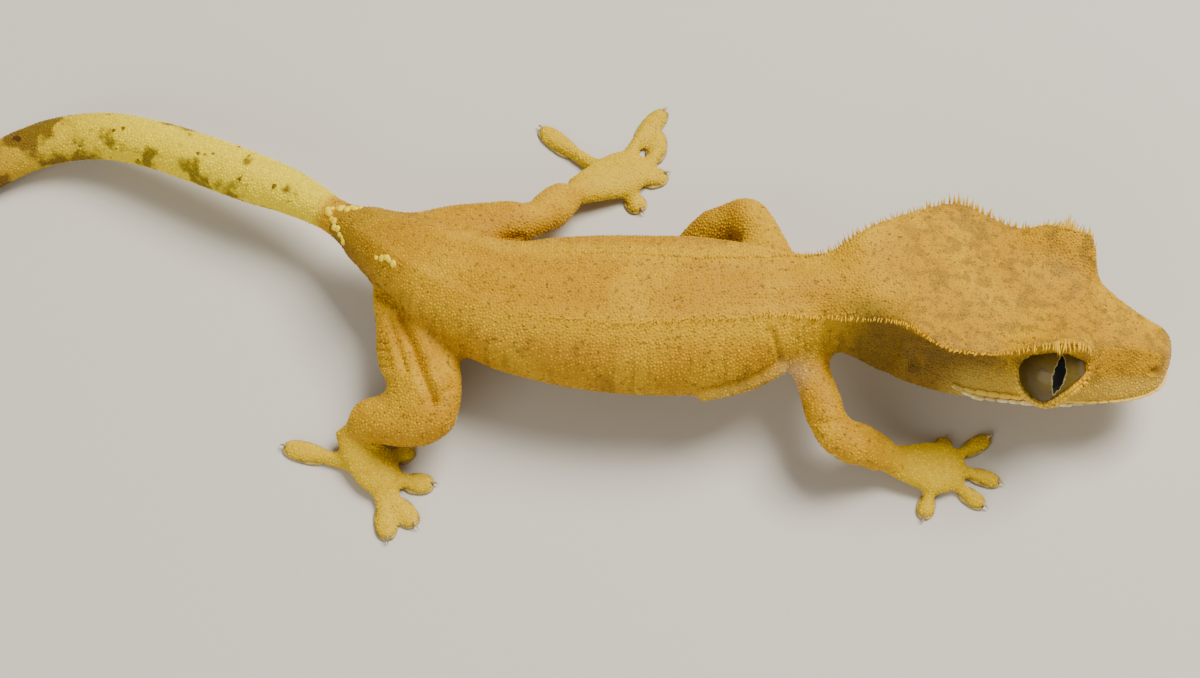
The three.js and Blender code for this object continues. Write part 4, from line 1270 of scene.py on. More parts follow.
@dataclass
class Skin:
    """The one skin over head, trunk, tail and limbs.

    Attributes:
        gecko: the forms.
        voxel: size of the grid that joins the forms, in millimetres.
        inset: how far the skin lies inside the solids, which is the scales' depth.
        even: share and rounds of the smoothing all over.
        blend: share and rounds of the smoothing where two forms meet.
        lids: share and rounds of the smoothing round the lids.
        meeting: greatest measure of the rival form that counts as meeting it, and the span
            over which that fades.
        points: the skin's points in pose millimetres.
        faces: its faces, by the numbers of their corners.
    """

    gecko: Gecko
    voxel: float = 0.35
    inset: float = 0.1
    even: tuple[float, int] = (0.3, 3)
    blend: tuple[float, int] = (0.6, 60)
    lids: tuple[float, int] = (0.5, 10)
    meeting: tuple[float, float] = (1.75, 0.45)
    points: Array = field(default_factory=lambda: np.zeros((0, 3)))
    faces: Array = field(default_factory=lambda: np.zeros((0, 4), int))

    def build(self, chart: Chart) -> bpy.types.Object:
        """Joins the forms, smooths the joins and sculpts the skin.

        Args:
            chart: finds each point's place on the forms.

        Returns:
            The skin's object, with its masks.
        """
        self.join()
        places = chart.locate(self.points)
        near = np.clip((self.meeting[0] - places.rival) / self.meeting[1], 0, 1)
        foot = part_of(places, self.gecko.lofts, ("foot", "hand"))
        crisp = bump(distance_to_line(self.points, np.array(FLANK_EDGE)), 2.6)
        near = near * (1 - 0.93 * foot) * (1 - crisp)
        for (share, rounds), where in ((self.even, np.ones(len(near))), (self.blend, near)):
            self.points = relaxed(self.points, self.faces, share * where, rounds)
        share, rounds = self.lids
        self.points = relaxed(self.points, self.faces, share * Head().near_lid(self.points), rounds)
        places = chart.locate(self.points)
        self.sculpt()
        self.points[:, 2] = np.maximum(self.points[:, 2], 0.02)
        piece = new_mesh("skin", placed(self.points), self.faces)
        carry(piece, Markings(self.gecko).masks(self.points, places))
        return piece

    def join(self) -> None:
        """Draws one closed surface round all the forms on a fine grid."""
        shells = [loft.shell(0.5, max(2, round(48 / loft.rings.shape[1]))) for loft in self.gecko.lofts]
        shells += [Head().lid_ball(side) for side in (1, -1)]
        draft = new_mesh("skin_draft", *merged(shells))
        grid = draft.modifiers.new("join", "REMESH")
        grid.mode = "VOXEL"
        grid.voxel_size = self.voxel
        mesh = draft.evaluated_get(bpy.context.evaluated_depsgraph_get()).to_mesh()
        flat = np.zeros(len(mesh.vertices) * 3, np.float32)
        mesh.vertices.foreach_get("co", flat)
        corners = np.zeros(len(mesh.loops), np.int32)
        mesh.loops.foreach_get("vertex_index", corners)
        self.points, self.faces = flat.reshape(-1, 3).astype(float), corners.reshape(-1, 4)
        bpy.data.objects.remove(draft)

    def sculpt(self) -> None:
        """Presses folds, nostrils, ear cups and eye sockets into the skin.

        Each nostril and ear cup is a bell that sinks in, with a low rim round it that is a
        bell of the distance less the rim's radius.
        """
        normals = vertex_normals(self.points, self.faces)
        sink = np.full(len(self.points), self.inset)
        for fold in FOLDS:
            sink += fold.sink(self.points, normals)
        local = in_head(self.points)
        local[:, 1] = np.abs(local[:, 1])
        head = ramp(local[:, 0], -6.0, -3.0)
        nostril = np.linalg.norm(local - Head.nostril_at, axis=1)
        sink += head * (0.5 * bump(nostril, 0.42) - 0.14 * bump(nostril - 0.75, 0.3))
        ear = np.linalg.norm((local - Head.ear_at) / Head.ear_size, axis=1)
        sink += head * (0.9 * bump(ear, 0.75) - 0.12 * bump(ear - 1.5, 0.4))
        self.points = self.points - sink[:, None] * normals
        self.points = self.socket(self.points)

    def under(self, marks: Array) -> tuple[Array, Array]:
        """Points of the upper skin under marks seen from above, and the normals there."""
        normals = vertex_normals(self.points, self.faces)
        upper = np.flatnonzero(normals[:, 2] > 0.2)
        gaps = np.linalg.norm(self.points[upper, None, :2] - marks[None], axis=2)
        found = upper[gaps.argmin(axis=0)]
        return self.points[found], normals[found]

    def nearest(self, spots: Array) -> Array:
        """The skin's point nearest to each spot, measured some fifty spots at a time."""
        reach = (self.points ** 2).sum(axis=1)
        blocks = np.array_split(spots, len(spots) // 50 + 1)
        found = [(reach - 2 * block @ self.points.T).argmin(axis=1) for block in blocks]
        return self.points[np.concatenate(found)]

    def socket(self, points: Array) -> Array:
        """Opens the lids over each eyeball and swells their edge to a rim.

        Points over the eye slide along the line from the eye's centre: inwards under the
        eyeball's surface within the opening, and outwards at its edge.

        Args:
            points: pose points of the skin.

        Returns:
            The moved points.
        """
        head = Head()
        local = in_head(points)
        side = np.where(local[:, 1] < 0, -1.0, 1.0)
        mirror = np.stack([np.ones(len(side)), side, np.ones(len(side))], axis=1)
        out = local * mirror - head.eye_at
        reach = np.linalg.norm(out, axis=1)
        way = out / np.maximum(reach, 1e-9)[:, None]
        beyond = head.beyond_opening(way)
        near = ramp(reach, 4.75, 4.4)
        under_brow = ramp(reach, *head.brow_reach) * ramp(way[:, 1], 0.12, 0.3)
        open_share = ramp(beyond, 0.02, -0.06) * np.maximum(near, under_brow)
        moved = reach + (head.eye_radius - head.under_eyeball - reach) * open_share
        moved = moved + head.lid_swell * bump(beyond - 0.1, 0.1) * near
        return from_head((way * moved[:, None] + head.eye_at) * mirror)


@dataclass
class Markings:
    """Masks for the skin's colours, worked out from a point's place on the forms.

    Attributes:
        gecko: the forms.
        band_off: how far the pale band lies from the midline of the back.
        armpit: middle of the thin pinkish skin in front of the right arm.
        apart: gap that keeps two forms' stripes apart.
    """

    gecko: Gecko
    band_off: float = 5.0
    armpit: tuple[float, float, float] = (21.8, -4.2, 9.4)
    apart: float = 7.0

    def masks(self, points: Array, places: Places) -> dict[str, Array]:
        """Every mask for a set of points.

        Args:
            points: pose points.
            places: their places on the forms.

        Returns:
            Masks by name, and the chart vector of along and round in millimetres.
        """
        lofts = self.gecko.lofts
        body, tail, foot, limb = (part_of(places, lofts, names) for names in
                                  (("body",), ("tail",), ("foot", "hand"), tuple(LEGS)))
        station = places.along - self.gecko.skull_start
        down = np.abs(places.turn) / np.pi
        local = in_head(points)
        head = body * ramp(station, -6.0, 1.0)
        trunk = body * (1 - head)
        throat = body * ramp(station, -14.0, -5.0) * (1 - ramp(station, 6.0, 16.0))
        side = ramp(np.abs(local[:, 1]), 4.0, 7.0) * (1 - ramp(local[:, 2], 3.0, 5.6))
        arm = np.linalg.norm(points - self.armpit, axis=1)
        wrists = np.array([palm[0] for palm, *_ in FEET.values()])
        wrist = np.sqrt(((points[:, None] - wrists) ** 2).sum(axis=2)).min(axis=1)
        hand = foot * (0.5 + 0.5 * ramp(wrist, 0.5, 5.0))
        loose = 0.9 * bump(distance_to_line(points, np.array(LOOSE_ROLL)), 0.8)
        rump = body * (1 - ramp(places.along, 0.0, 16.0)) * 0.5
        band = bump(np.abs(places.left) - self.band_off, 1.6) * ramp(places.along, 8, 20)
        size = np.array([loft.sizes[:, 0].mean() for loft in lofts])[places.form]
        return {
            "tail": tail * ramp(places.along, 1.6, 4.0),
            "aged": ramp(places.along, 12.0, 75.0) * tail,
            "foot": hand + 0.5 * limb * (1 - ramp(wrist, 0.0, 6.0)),
            "crown": head,
            "belly": np.maximum(ramp(down, 0.72, 0.86) * (1 - 0.5 * foot), loose),
            # Lighter cheeks and snout sides: partly paler skin, partly painted light where the cheek bulges
            # into the light.
            "jowl": head * ramp(down, 0.4, 0.55) * ramp(station, 2.0, 9.0),
            # Painted shade: the throat's sides under the crest, the rump towards the tail root, and a band
            # low on the flank.
            "shade": np.maximum(0.8 * throat * side, rump) + 0.22 * trunk * bump(down - 0.56, 0.2),
            "pale": trunk * band,
            "flush": np.maximum(0.8 * bump(arm, 2.6), 0.55 * body * bump(station - 30.6, 1.6)),
            "flank": trunk * (0.85 * ramp(down, 0.22, 0.4) + 0.15 * ramp(down, 0.4, 0.6)),
            "chart": np.stack([places.along, places.turn * size, places.form * self.apart], axis=1),
        }


def studs(roots: Array, out: Array, side: Array, wide: Array, tall: Array,
          levels: tuple[float, float, float], shoulder: float, sides: int = 5) -> tuple[Array, ...]:
    """Small closed studs of few sides: a foot ring, a narrower shoulder ring, and a tip.

    A ring's point at turn q lies at its width times cos q along one side and sin q along the
    other, and each ring and the tip stand at their level times the height.

    Args:
        roots: where the studs stand.
        out: which way each points.
        side: any direction square to that.
        wide: half width of each.
        tall: height of each.
        levels: shares of the height at which foot, shoulder and tip lie.
        shoulder: the shoulder's width as a share of the foot's.
        sides: sides of each stud.

    Returns:
        Points of each stud, triangles, and each point's offset on its stud's own plane.
    """
    ring = circle(sides)
    flat = np.concatenate([ring, shoulder * ring, [(0, 0)]])
    height = np.repeat(levels, (sides, sides, 1))
    across = flat[None, :, :1] * side[:, None] + flat[None, :, 1:] * np.cross(out, side)[:, None]
    rise = height[None, :, None] * tall[:, None, None] * out[:, None]
    points = roots[:, None] + wide[:, None, None] * across + rise
    each = np.arange(sides)
    after = (each + 1) % sides
    walls = triangles(np.stack([each, after, after + sides, each + sides], axis=1))
    top = np.stack([each + sides, after + sides, np.full(sides, 2 * sides)], axis=1)
    base = np.stack([np.zeros(sides - 2, int), each[2:], each[1:-1]], axis=1)
    faces = np.concatenate([walls, top, base])[None] + np.arange(len(roots))[:, None, None] * len(flat)
    return points, faces.reshape(-1, 3), np.tile(flat, (len(roots), 1))


# Half width of each scale's or spine's patch on the flat layout of the skin
PATCH = 0.0015


def coat_piece(name: str, mesh: tuple[Array, ...], spots: Array, found: Places, chart: Chart,
               changes: dict[str, Array | float], material: bpy.types.Material) -> bpy.types.Object:
    """One piece of scales or spines, each with the markings and flat place of its root.

    Args:
        name: the piece's name.
        mesh: points in metres, triangles, and offsets on the studs' own planes.
        spots: the roots in pose millimetres.
        found: the roots' places on the forms.
        chart: gives the flat layout.
        changes: carried values in place of the markings', one for each root or for all.
        material: the piece's material.

    Returns:
        The piece.
    """
    points, faces, flat = mesh
    made = new_mesh(name, points, faces)
    corners = len(flat) // len(spots)
    values = Markings(chart.gecko).masks(spots, found)
    values.update({key: np.broadcast_to(value, len(spots)) for key, value in changes.items()})
    carry(made, {key: np.repeat(value, corners, axis=0) for key, value in values.items()})
    place = np.repeat(chart.flat(found), corners, axis=0) + PATCH * flat
    layer = made.data.uv_layers.new(name="OFBake")
    layer.data.foreach_set("uv", place[faces.ravel()].astype(np.float32).ravel())
    return finish_piece(made, material)


@dataclass
class Scales:
    """Bead scales set close together over the whole skin.

    Each is a low dome of five sides, sunk a little in the skin, with its own tone.

    Attributes:
        fine: distance between scales on the head, hands and feet, in millimetres.
        coarse: distance between them elsewhere.
        rise: height of a dome as a share of its half width.
        cover: a scale's half width as a share of the distance between scales.
        vary: least and greatest share of that width.
        seed: start of the random numbers.
    """

    fine: float = 0.3
    coarse: float = 0.33
    rise: float = 0.5
    cover: float = 0.56
    vary: tuple[float, float] = (0.72, 1.2)
    seed: int = 7

    def scatter(self, skin: bpy.types.Object, spacing: float, chosen: Array) -> tuple[Array, Array]:
        """Points spread over part of the skin, none closer together than the spacing.

        Args:
            skin: the skin's object.
            spacing: least distance between points, in millimetres.
            chosen: one for each point of the skin that takes part.

        Returns:
            Places in metres, and the skin's normals there.
        """
        carry(skin, {"chosen": chosen})
        tree = bpy.data.node_groups.new("spread", "GeometryNodeTree")
        for way in ("INPUT", "OUTPUT"):
            tree.interface.new_socket("Geometry", in_out=way, socket_type="NodeSocketGeometry")
        source = add(tree, Node.MESH_IN, {})
        share = add(tree, Node.CHOSEN, {"Name": "chosen"})
        spread = add(tree, Node.SPREAD, {"Mesh": source, "Distance Min": spacing * MM,
                                         "Density Max": 3.0 / (spacing * MM) ** 2,
                                         "Density Factor": share, "Seed": self.seed})
        kept = add(tree, Node.STORED, {"Name": "lie", "Geometry": spread,
                                       "Value": spread.node.outputs["Normal"]})
        add(tree, Node.MESH_OUT, {0: add(tree, Node.VERTICES, {0: kept})})
        maker = skin.modifiers.new("spread", "NODES")
        maker.node_group = tree
        mesh = skin.evaluated_get(bpy.context.evaluated_depsgraph_get()).to_mesh()
        flat = np.zeros(len(mesh.vertices) * 3, np.float32)
        lie = flat.copy()
        mesh.vertices.foreach_get("co", flat)
        mesh.attributes["lie"].data.foreach_get("vector", lie)
        skin.modifiers.remove(maker)
        skin.data.attributes.remove(skin.data.attributes["chosen"])
        return flat.reshape(-1, 3).astype(float), unit(lie.reshape(-1, 3).astype(float))

    def build(self, skin: bpy.types.Object, body: Skin, chart: Chart, material: bpy.types.Material
              ) -> list[bpy.types.Object]:
        """All the scales, in pieces by the part of the body that they stand on.

        Args:
            skin: the skin's object.
            body: the skin's points and faces.
            chart: finds places on the forms.
            material: the scales' material.

        Returns:
            The pieces.
        """
        lofts = chart.gecko.lofts
        places = chart.locate(body.points)
        foot = part_of(places, lofts, ("foot", "hand"))
        small = (np.maximum(foot, ramp(in_head(body.points)[:, 0], -2.0, -1.0)) > 0.5).astype(float)
        pieces = []
        for spacing, chosen in ((self.fine, small), (self.coarse, 1 - small)):
            roots, normals = self.scatter(skin, spacing, chosen)
            found = chart.locate(roots / MM + MIDDLE)
            groups = self.groups(found, lofts, spacing == self.fine)
            for name in dict.fromkeys(groups):
                pick = np.flatnonzero(groups == name)
                pieces.append(self.piece(f"scales_{name}", roots[pick], normals[pick], found.of(pick),
                                         chart, spacing, material))
        return pieces

    def groups(self, found: Places, lofts: list[Loft], fine: bool) -> Array:
        """Name of the group that each scale belongs to, apart for fine and coarse ones."""
        above, below, rest = ("crown", "jaw", "feet") if fine else ("back", "belly", "legs")
        body = part_of(found, lofts, ("body",)) > 0
        tail = (part_of(found, lofts, ("tail",)) > 0) & (not fine)
        return np.select([body & (found.up > 0), body, tail], [above, below, "tail"], rest)

    def piece(self, name: str, roots: Array, normals: Array, found: Places, chart: Chart,
              spacing: float, material: bpy.types.Material) -> bpy.types.Object:
        """One piece of scales, each a low dome.

        Args:
            name: the piece's name.
            roots: where the scales stand, in metres.
            normals: which way they point.
            found: their places on the forms.
            chart: gives the flat layout.
            spacing: distance between them, in millimetres.
            material: their material.

        Returns:
            The piece.
        """
        draws = np.random.default_rng(self.seed + len(roots))
        radius = spacing * MM * self.cover * draws.uniform(*self.vary, len(roots))
        side = unit(np.cross(normals, draws.normal(size=normals.shape)))
        levels = (-0.5, 0.6 * self.rise, self.rise)
        points, faces, flat = studs(roots, normals, side, radius, radius, levels, 0.72)
        points = points.reshape(-1, 3)
        points[:, 2] = np.maximum(points[:, 2], 0.0)
        tone = draws.uniform(0, 1, len(roots))
        return coat_piece(name, (points, faces, flat), roots / MM + MIDDLE, found, chart,
                          {"tone": tone}, material)


@dataclass
class Eye:
    """A glossy lidless eye.

    Attributes:
        side: one for the left eye, minus one for the right.
        ahead: how far the pupil looks forward, in degrees.
        above: how far it looks up, in degrees.
        rings: rings of points from the pupil to the back.
    """

    side: int
    ahead: float = 6.0
    above: float = 40.0
    rings: int = 36
    around: int = 64

    def build(self) -> bpy.types.Object:
        """A ball about the eye's axis, with flat coordinates about the pupil.

        The flat coordinates are the parts across and upwards, and beyond the ball's edge
        they run on outwards, as two less their distance.

        Returns:
            The eyeball, not yet finished.
        """
        axis = facing(math.radians(self.ahead), math.radians(self.above), self.side)
        rise = unit(np.array([0.0, 0.0, 1.0]) - axis[2] * axis)
        across = np.cross(rise, axis)
        points, faces = closed_tube(ball_grid(self.rings, self.around) @ np.stack([across, rise, axis]))
        points[-2:] = (axis, -axis)
        centre = Head.eye_at * (1, self.side, 1)
        made = new_mesh(f"eyeball_{'left' if self.side > 0 else 'right'}",
                        placed(from_head(centre + Head.eye_radius * points)), faces)
        flat = np.stack([points @ across, points @ rise], axis=1)
        reach = np.linalg.norm(flat, axis=1, keepdims=True)
        behind = (points @ axis < 0)[:, None]
        flat = np.where(behind, flat / np.maximum(reach, 1e-9) * (2 - reach), flat)
        layer = made.data.uv_layers.new(name="iris")
        layer.data.foreach_set("uv", flat[faces.ravel()].astype(np.float32).ravel())
        return made


@dataclass
class SpineRow:
    """A dense row of soft spines on both crest edges.

    Attributes:
        start: first station in the head's frame.
        end: last station.
        pitch: distance between spines.
        lengths: length at the start, the peak and the end.
        peak: share of the row where the peak is.
        lean: direction as parts ahead, left and up.
        lanes: side by side lines of spines, each this much lower on the edge.
    """

    start: float
    end: float
    pitch: float
    lengths: tuple[float, float, float]
    peak: float
    lean: tuple[float, float, float]
    lanes: tuple[float, ...] = (0.0,)


SPINE_ROWS = [
    SpineRow(11.2, 19.6, 0.42, (0.7, 1.5, 0.8), 0.66, (0.12, 0.99, 0.0), (0.1, 0.22)),
    SpineRow(14.4, 16.4, 0.45, (1.4, 2.1, 1.3), 0.5, (0.05, 0.99, 0.05), (0.1,)),
    SpineRow(-1.6, 11.2, 0.42, (0.9, 1.4, 0.8), 0.4, (-0.22, 0.8, 0.55), (0.0, 0.12)),
    SpineRow(-15.0, -1.6, 0.42, (0.75, 0.95, 0.9), 0.5, (-0.25, 0.85, 0.45), (0.0, 0.1)),
    SpineRow(-44.0, -15.0, 0.45, (0.35, 0.6, 0.75), 0.5, (-0.3, 0.75, 0.6), (0.0,)),
]


@dataclass
class Crest:
    """The spines from the brow over the head and neck to the middle of the back.

    Attributes:
        gecko: the forms.
        seed: start of the random numbers.
        edge: outline point of the crest's edge.
        foot: half width of a spine's foot, plain and for each millimetre of its length.
        hook: how far its tip is carried sideways, as a share of its length.
        pale: how far a spine goes to the light colour.
        cream: how far it goes to the belly's.
    """

    gecko: Gecko
    seed: int = 41
    edge: float = 2.0
    foot: tuple[float, float] = (0.09, 0.05)
    hook: float = 0.12
    pale: float = 0.6
    cream: float = 0.2

    def build(self, chart: Chart, skin: Skin, material: bpy.types.Material) -> bpy.types.Object:
        """All the spines as one piece.

        A spine's point at a level l above its foot is carried sideways by the hook times
        the square of l, so that it bends towards its tip.

        Args:
            chart: finds places on the forms.
            skin: the skin that the spines stand on.
            material: their material.

        Returns:
            The piece.
        """
        draws = np.random.default_rng(self.seed)
        body = self.gecko.body
        columns: list[tuple[Array, ...]] = []
        for row in SPINE_ROWS:
            for lane, drop in enumerate(row.lanes):
                count = round((row.end - row.start) / row.pitch)
                share = (np.arange(count) + 0.5 * lane) / count
                length = hermite(np.array([0, row.peak, 1]), np.array(row.lengths)[:, None], share)[:, 0]
                for side in (1, -1):
                    jitter = draws.uniform(-0.25, 0.25, count) / count
                    t = self.gecko.along_head(row.start + (row.end - row.start) * (share + jitter))
                    v = (side * (self.edge + drop)) % Gecko.trunk_sides
                    ahead, left, up = row.lean
                    sway = draws.uniform(-0.18, 0.18, (2, count))
                    ways = body.toward(t, ahead + sway[0], side * (left + sway[1]), up * np.ones(count))
                    lengths = length * draws.uniform(0.7, 1.15, count) * (1 - 0.35 * lane)
                    columns.append((body.points(t, v), ways, lengths))
        roots, ways, lengths = (np.concatenate(column) for column in zip(*columns))
        roots = skin.nearest(roots)
        hook = self.hook * lengths[:, None] * unit(draws.normal(size=ways.shape))
        side = unit(np.cross(ways, (0.13, 0.2, 0.97)))
        levels = (-0.25, 0.5, 1.0)
        wide = self.foot[0] + self.foot[1] * lengths
        points, faces, flat = studs(roots, ways, side, wide, lengths, levels, 0.6)
        bend = np.maximum(np.repeat(levels, (5, 5, 1)), 0) ** 2
        points = points + bend[None, :, None] * hook[:, None]
        changes: dict[str, Array | float] = dict.fromkeys(("crown", "flank", "shade", "jowl"), 0.0)
        changes.update(tone=draws.uniform(0, 0.4, len(roots)), pale=self.pale, belly=self.cream)
        return coat_piece("crest_spines", (placed(points.reshape(-1, 3)), faces, flat), roots,
                          chart.locate(roots), chart, changes, material)


def plates(centres: Array, along: Array, out: Array, long: Array, tall: Array, thick: Array,
           rings: int = 5, around: int = 12) -> tuple[Array, Array]:
    """Rounded pillow plates, each a flattened ball with square shoulders.

    A point at slope p and turn q lies at long, tall and thick times its sines and cosines,
    each drawn towards one by a root, so that the plate is squarer than a ball.

    Args:
        centres: middles of the plates, in pose millimetres.
        along: the long direction of each.
        out: the direction that each faces.
        long: half lengths.
        tall: half heights.
        thick: half thicknesses.
        rings: rings of points on each.
        around: points in a ring.

    Returns:
        Points and triangles.
    """
    ball = ball_grid(rings + 2, around)
    ball[..., :2] = np.sign(ball[..., :2]) * np.abs(ball[..., :2]) ** 0.75
    shape, faces = closed_tube(ball)
    shape[-2:] = ((0, 0, 1), (0, 0, -1))
    local = shape[None] * np.stack([long, tall, thick], axis=1)[:, None]
    axes = np.stack([along, np.cross(out, along), out], axis=1)
    points = centres[:, None] + np.einsum("kpi,kij->kpj", local, axes)
    faces = faces[None] + np.arange(len(centres))[:, None, None] * len(shape)
    return points.reshape(-1, 3), faces.reshape(-1, 3)


@dataclass
class Lips:
    """Rows of smooth scales along the mouth line.

    Attributes:
        gecko: the forms.
        stations: stations of the mouth line, forward along the head.
        rings: how far down each side the line lies at these stations.
        front: the middle of the mouth line, in the head's frame.
        pitch: length of one lip scale.
        count: scales in a row.
        thick: half thickness of a scale.
        corner: stations over which the scales grow from the mouth's corner.
        fade: stations over which they dwindle towards the snout.
        chin: station from which the line turns to face forward, and over what length.
        rows: of each row, its name, how far it lies off the line, and half its height.
        seed: start of the random numbers.
    """

    gecko: Gecko
    stations: tuple[float, ...] = (6.6, 8.6, 11, 15, 19, 23, 26.5, 28.6, 29.7)
    rings: tuple[float, ...] = (3.86, 3.98, 4.05, 4.07, 4.06, 4.03, 4.0, 4.0, 4.0)
    front: tuple[float, float, float] = (30.35, 0.0, -1.5)
    pitch: float = 1.57
    count: int = 40
    thick: float = 0.26
    corner: tuple[float, float] = (6.6, 9.5)
    fade: tuple[float, float] = (17.0, 23.0)
    chin: tuple[float, float] = (24.0, 5.0)
    rows: tuple[tuple[str, float, float], ...] = (("upper_lip_scales", 0.52, 0.44),
                                                  ("lower_lip_scales", -0.45, 0.36))
    seed: int = 31

    def line(self) -> tuple[Array, Array]:
        """The mouth line from the left corner round the snout to the right corner.

        Returns:
            Places at equal distances, and the outward direction at each, which is sideways
            and turns forward past the chin's station.
        """
        t = self.gecko.along_head(self.stations)
        v = np.array(self.rings)
        left, right = (self.gecko.body.points(t, ring) for ring in (v, Gecko.trunk_sides - v))
        knots = np.concatenate([left, from_head([self.front]), right[::-1]])
        run = self.run(knots)
        dense = hermite(run, knots, np.linspace(0, run[-1], 400))
        run = self.run(dense)
        even = np.linspace(0, run[-1], self.count)
        places = np.stack([np.interp(even, run, dense[:, n]) for n in range(3)], axis=1)
        local = in_head(places)
        forward = np.maximum(local[:, 0] - self.chin[0], 0) / self.chin[1]
        sideways = np.clip(local[:, 1] / 2.0, -1, 1)
        return places, unit(np.stack([forward, sideways, np.zeros(self.count)], axis=1) @ HEAD_TURN.T)

    @staticmethod
    def run(points: Array) -> Array:
        """Length of the line up to each of its points."""
        return np.concatenate([[0], np.cumsum(np.linalg.norm(np.diff(points, axis=0), axis=1))])

    def build(self, looks: tuple[bpy.types.Material, bpy.types.Material], chart: Chart) -> None:
        """Upper lip scales in the skin's colours and lower ones in cream."""
        draws = np.random.default_rng(self.seed)
        places, out = self.line()
        along = unit(np.gradient(places, axis=0))
        out = square_to(out, along)
        up = np.cross(out, along)
        up = up * np.sign(up[:, 2:3])
        ahead = in_head(places)[:, 0]
        for (name, drop, tall), material in zip(self.rows, looks):
            vary = draws.uniform(0.72, 1.12, self.count)
            taper = (0.4 + 0.6 * ramp(ahead, *self.corner)) * (1 - 0.9 * ramp(ahead, *self.fade)) * vary
            centres = places + drop * taper[:, None] * up - 0.06 * out
            row = plates(centres, along, out, self.pitch * 0.54 * vary, tall * taper,
                         np.full(self.count, self.thick))
            small_piece(name, [row], material, chart)


@dataclass
class Lids:
    """Rows of small scales along the lids' edges that stand up as a rim.

    Attributes:
        count: scales in a row.
        lanes: of each row, its angle outside the edge, its distance from the eye's centre
            and half its scales' width.
        seed: start of the random numbers.
    """

    count: int = 46
    lanes: tuple[tuple[float, float, float], ...] = ((0.03, 4.2, 0.25), (0.13, 4.36, 0.27),
                                                     (0.24, 4.3, 0.27))
    seed: int = 23

    def build(self, chart: Chart, material: bpy.types.Material) -> None:
        """Both eyes' rims as one piece."""
        head = Head()
        draws = np.random.default_rng(self.seed)
        parts = []
        for side in (1, -1):
            for beyond, reach, size in self.lanes:
                ways = head.lid_edge(self.count, beyond) * (1, side, 1)
                local = head.eye_at * (1, side, 1) + reach * ways
                along = square_to(unit(np.roll(local, -1, axis=0) - np.roll(local, 1, axis=0)), ways)
                wide = size * draws.uniform(0.85, 1.15, self.count)
                parts.append(plates(from_head(local), along @ HEAD_TURN.T, ways @ HEAD_TURN.T,
                                    1.2 * wide, wide, 0.9 * wide, 4, 8))
        small_piece("eye_rims", parts, material, chart)


@dataclass
class Toes:
    """Pads and claws of every toe.

    Attributes:
        gecko: the forms.
        pad_shares: shares of the toe's length between which the pad lies.
        pad_width: half width of the pad, before the foot's own share.
        pad_height: height of its middle above the floor, and half its own height.
        ribs: rows of bristle under a pad, and how deep they are.
        claw_length: length of a claw.
        claw_radius: half width of its foot.
        claw_height: height of its foot above the floor, how far it arches, and how far its
            tip drops.
        claw_back: how far its foot is set into the toe.
    """

    gecko: Gecko
    pad_shares: tuple[float, float] = (0.5, 1.0)
    pad_width: float = 1.4
    pad_height: tuple[float, float] = (0.21, 0.2)
    ribs: tuple[int, float] = (9, 0.04)
    claw_length: float = 1.0
    claw_radius: float = 0.2
    claw_height: tuple[float, float, float] = (0.62, 0.22, 0.42)
    claw_back: float = 0.35

    def pads(self, material: bpy.types.Material) -> None:
        """Broad flat pads under the toes' ends, ribbed below by their rows of bristle.

        At a share r of the pad its half width is the root of one less a power of how far r
        is from the middle, and its lower half is raised by a cosine of r for the ribs.

        Args:
            material: their material.
        """
        parts = []
        run = np.linspace(0, 1, 26)
        share = self.pad_shares[0] + run * (self.pad_shares[1] - self.pad_shares[0])
        turn = turns(18)
        rib = self.ribs[1] * np.cos(2 * np.pi * self.ribs[0] * run)
        rise = self.pad_height[1] * np.cos(turn) + np.where(np.cos(turn) < 0, 1, 0) * rib[:, None]
        high = np.maximum(self.pad_height[0] + rise, 0.0)
        for name, toe in self.gecko.every_toe():
            line = self.gecko.toe_line(name, toe, share)
            side = frames_along(line)[0]
            round_ends = np.sqrt(np.maximum(1 - np.abs(1.9 * run - 0.98) ** 2.6, 0.01))
            wide = self.pad_width * FEET[name][3] * round_ends
            grid = line[:, None] + side[:, None] * (wide[:, None] * np.sin(turn))[..., None]
            grid[..., 2] = high
            parts.append(closed_tube(grid))
        small_piece("toe_pads", parts, material)

    def claws(self, material: bpy.types.Material) -> None:
        """Short hooked claws at the toes' ends.

        A claw's centre line arches by a sine and drops with the square of its length, and
        its thickness falls with a power of what is left of it.

        Args:
            material: their material.
        """
        parts = []
        run = np.linspace(0, 1, 9)
        foot, arch, drop = self.claw_height
        thick = self.claw_radius * (1 - run) ** 0.7 + 0.01
        for name, toe in self.gecko.every_toe():
            line = self.gecko.toe_line(name, toe, np.array([0.9, 1.0]))
            way = unit((line[1] - line[0]) * (1, 1, 0))
            spine = line[1] + np.outer(run * self.claw_length - self.claw_back, way)
            spine[:, 2] = foot + arch * np.sin(np.pi * run) - drop * run**2
            ring = circle(10) @ np.array([(0, 0, 1.25), np.cross((0, 0, 1), way)])
            parts.append(closed_tube(spine[:, None] + thick[:, None, None] * ring[None]))
        small_piece("claws", parts, material)


@dataclass
class TailBeads:
    """Bright enlarged scales in a V at the tail's root, and a few on the hip.

    Attributes:
        rows: of each row, its two ends seen from above in pose millimetres, and its count.
        radius: half width of the largest bead.
        stray: how far the beads stray from their line.
        seed: start of the random numbers.
    """

    rows: tuple[tuple[tuple[float, float], tuple[float, float], int], ...] = (
        ((-32.4, 17.6), (-28.6, 17.6), 9), ((-32.4, 17.4), (-30.2, 13.4), 9), ((-25.8, 9.8), (-23.8, 8.4), 5))
    radius: float = 0.4
    stray: float = 0.12
    seed: int = 5

    def build(self, skin: Skin, material: bpy.types.Material) -> None:
        """The beads as one piece, each on the skin below its place."""
        draws = np.random.default_rng(self.seed)
        marks = np.concatenate([np.linspace(*row) for row in self.rows])
        marks = marks + draws.normal(0, self.stray, marks.shape)
        size = self.radius * draws.uniform(0.6, 1.1, len(marks))
        centres, out = skin.under(marks)
        along = unit(np.cross(out, draws.normal(size=out.shape)))
        beads = plates(centres, along, out, 1.15 * size, size, 0.75 * size, 6, 12)
        small_piece("tail_root_beads", [beads], material)


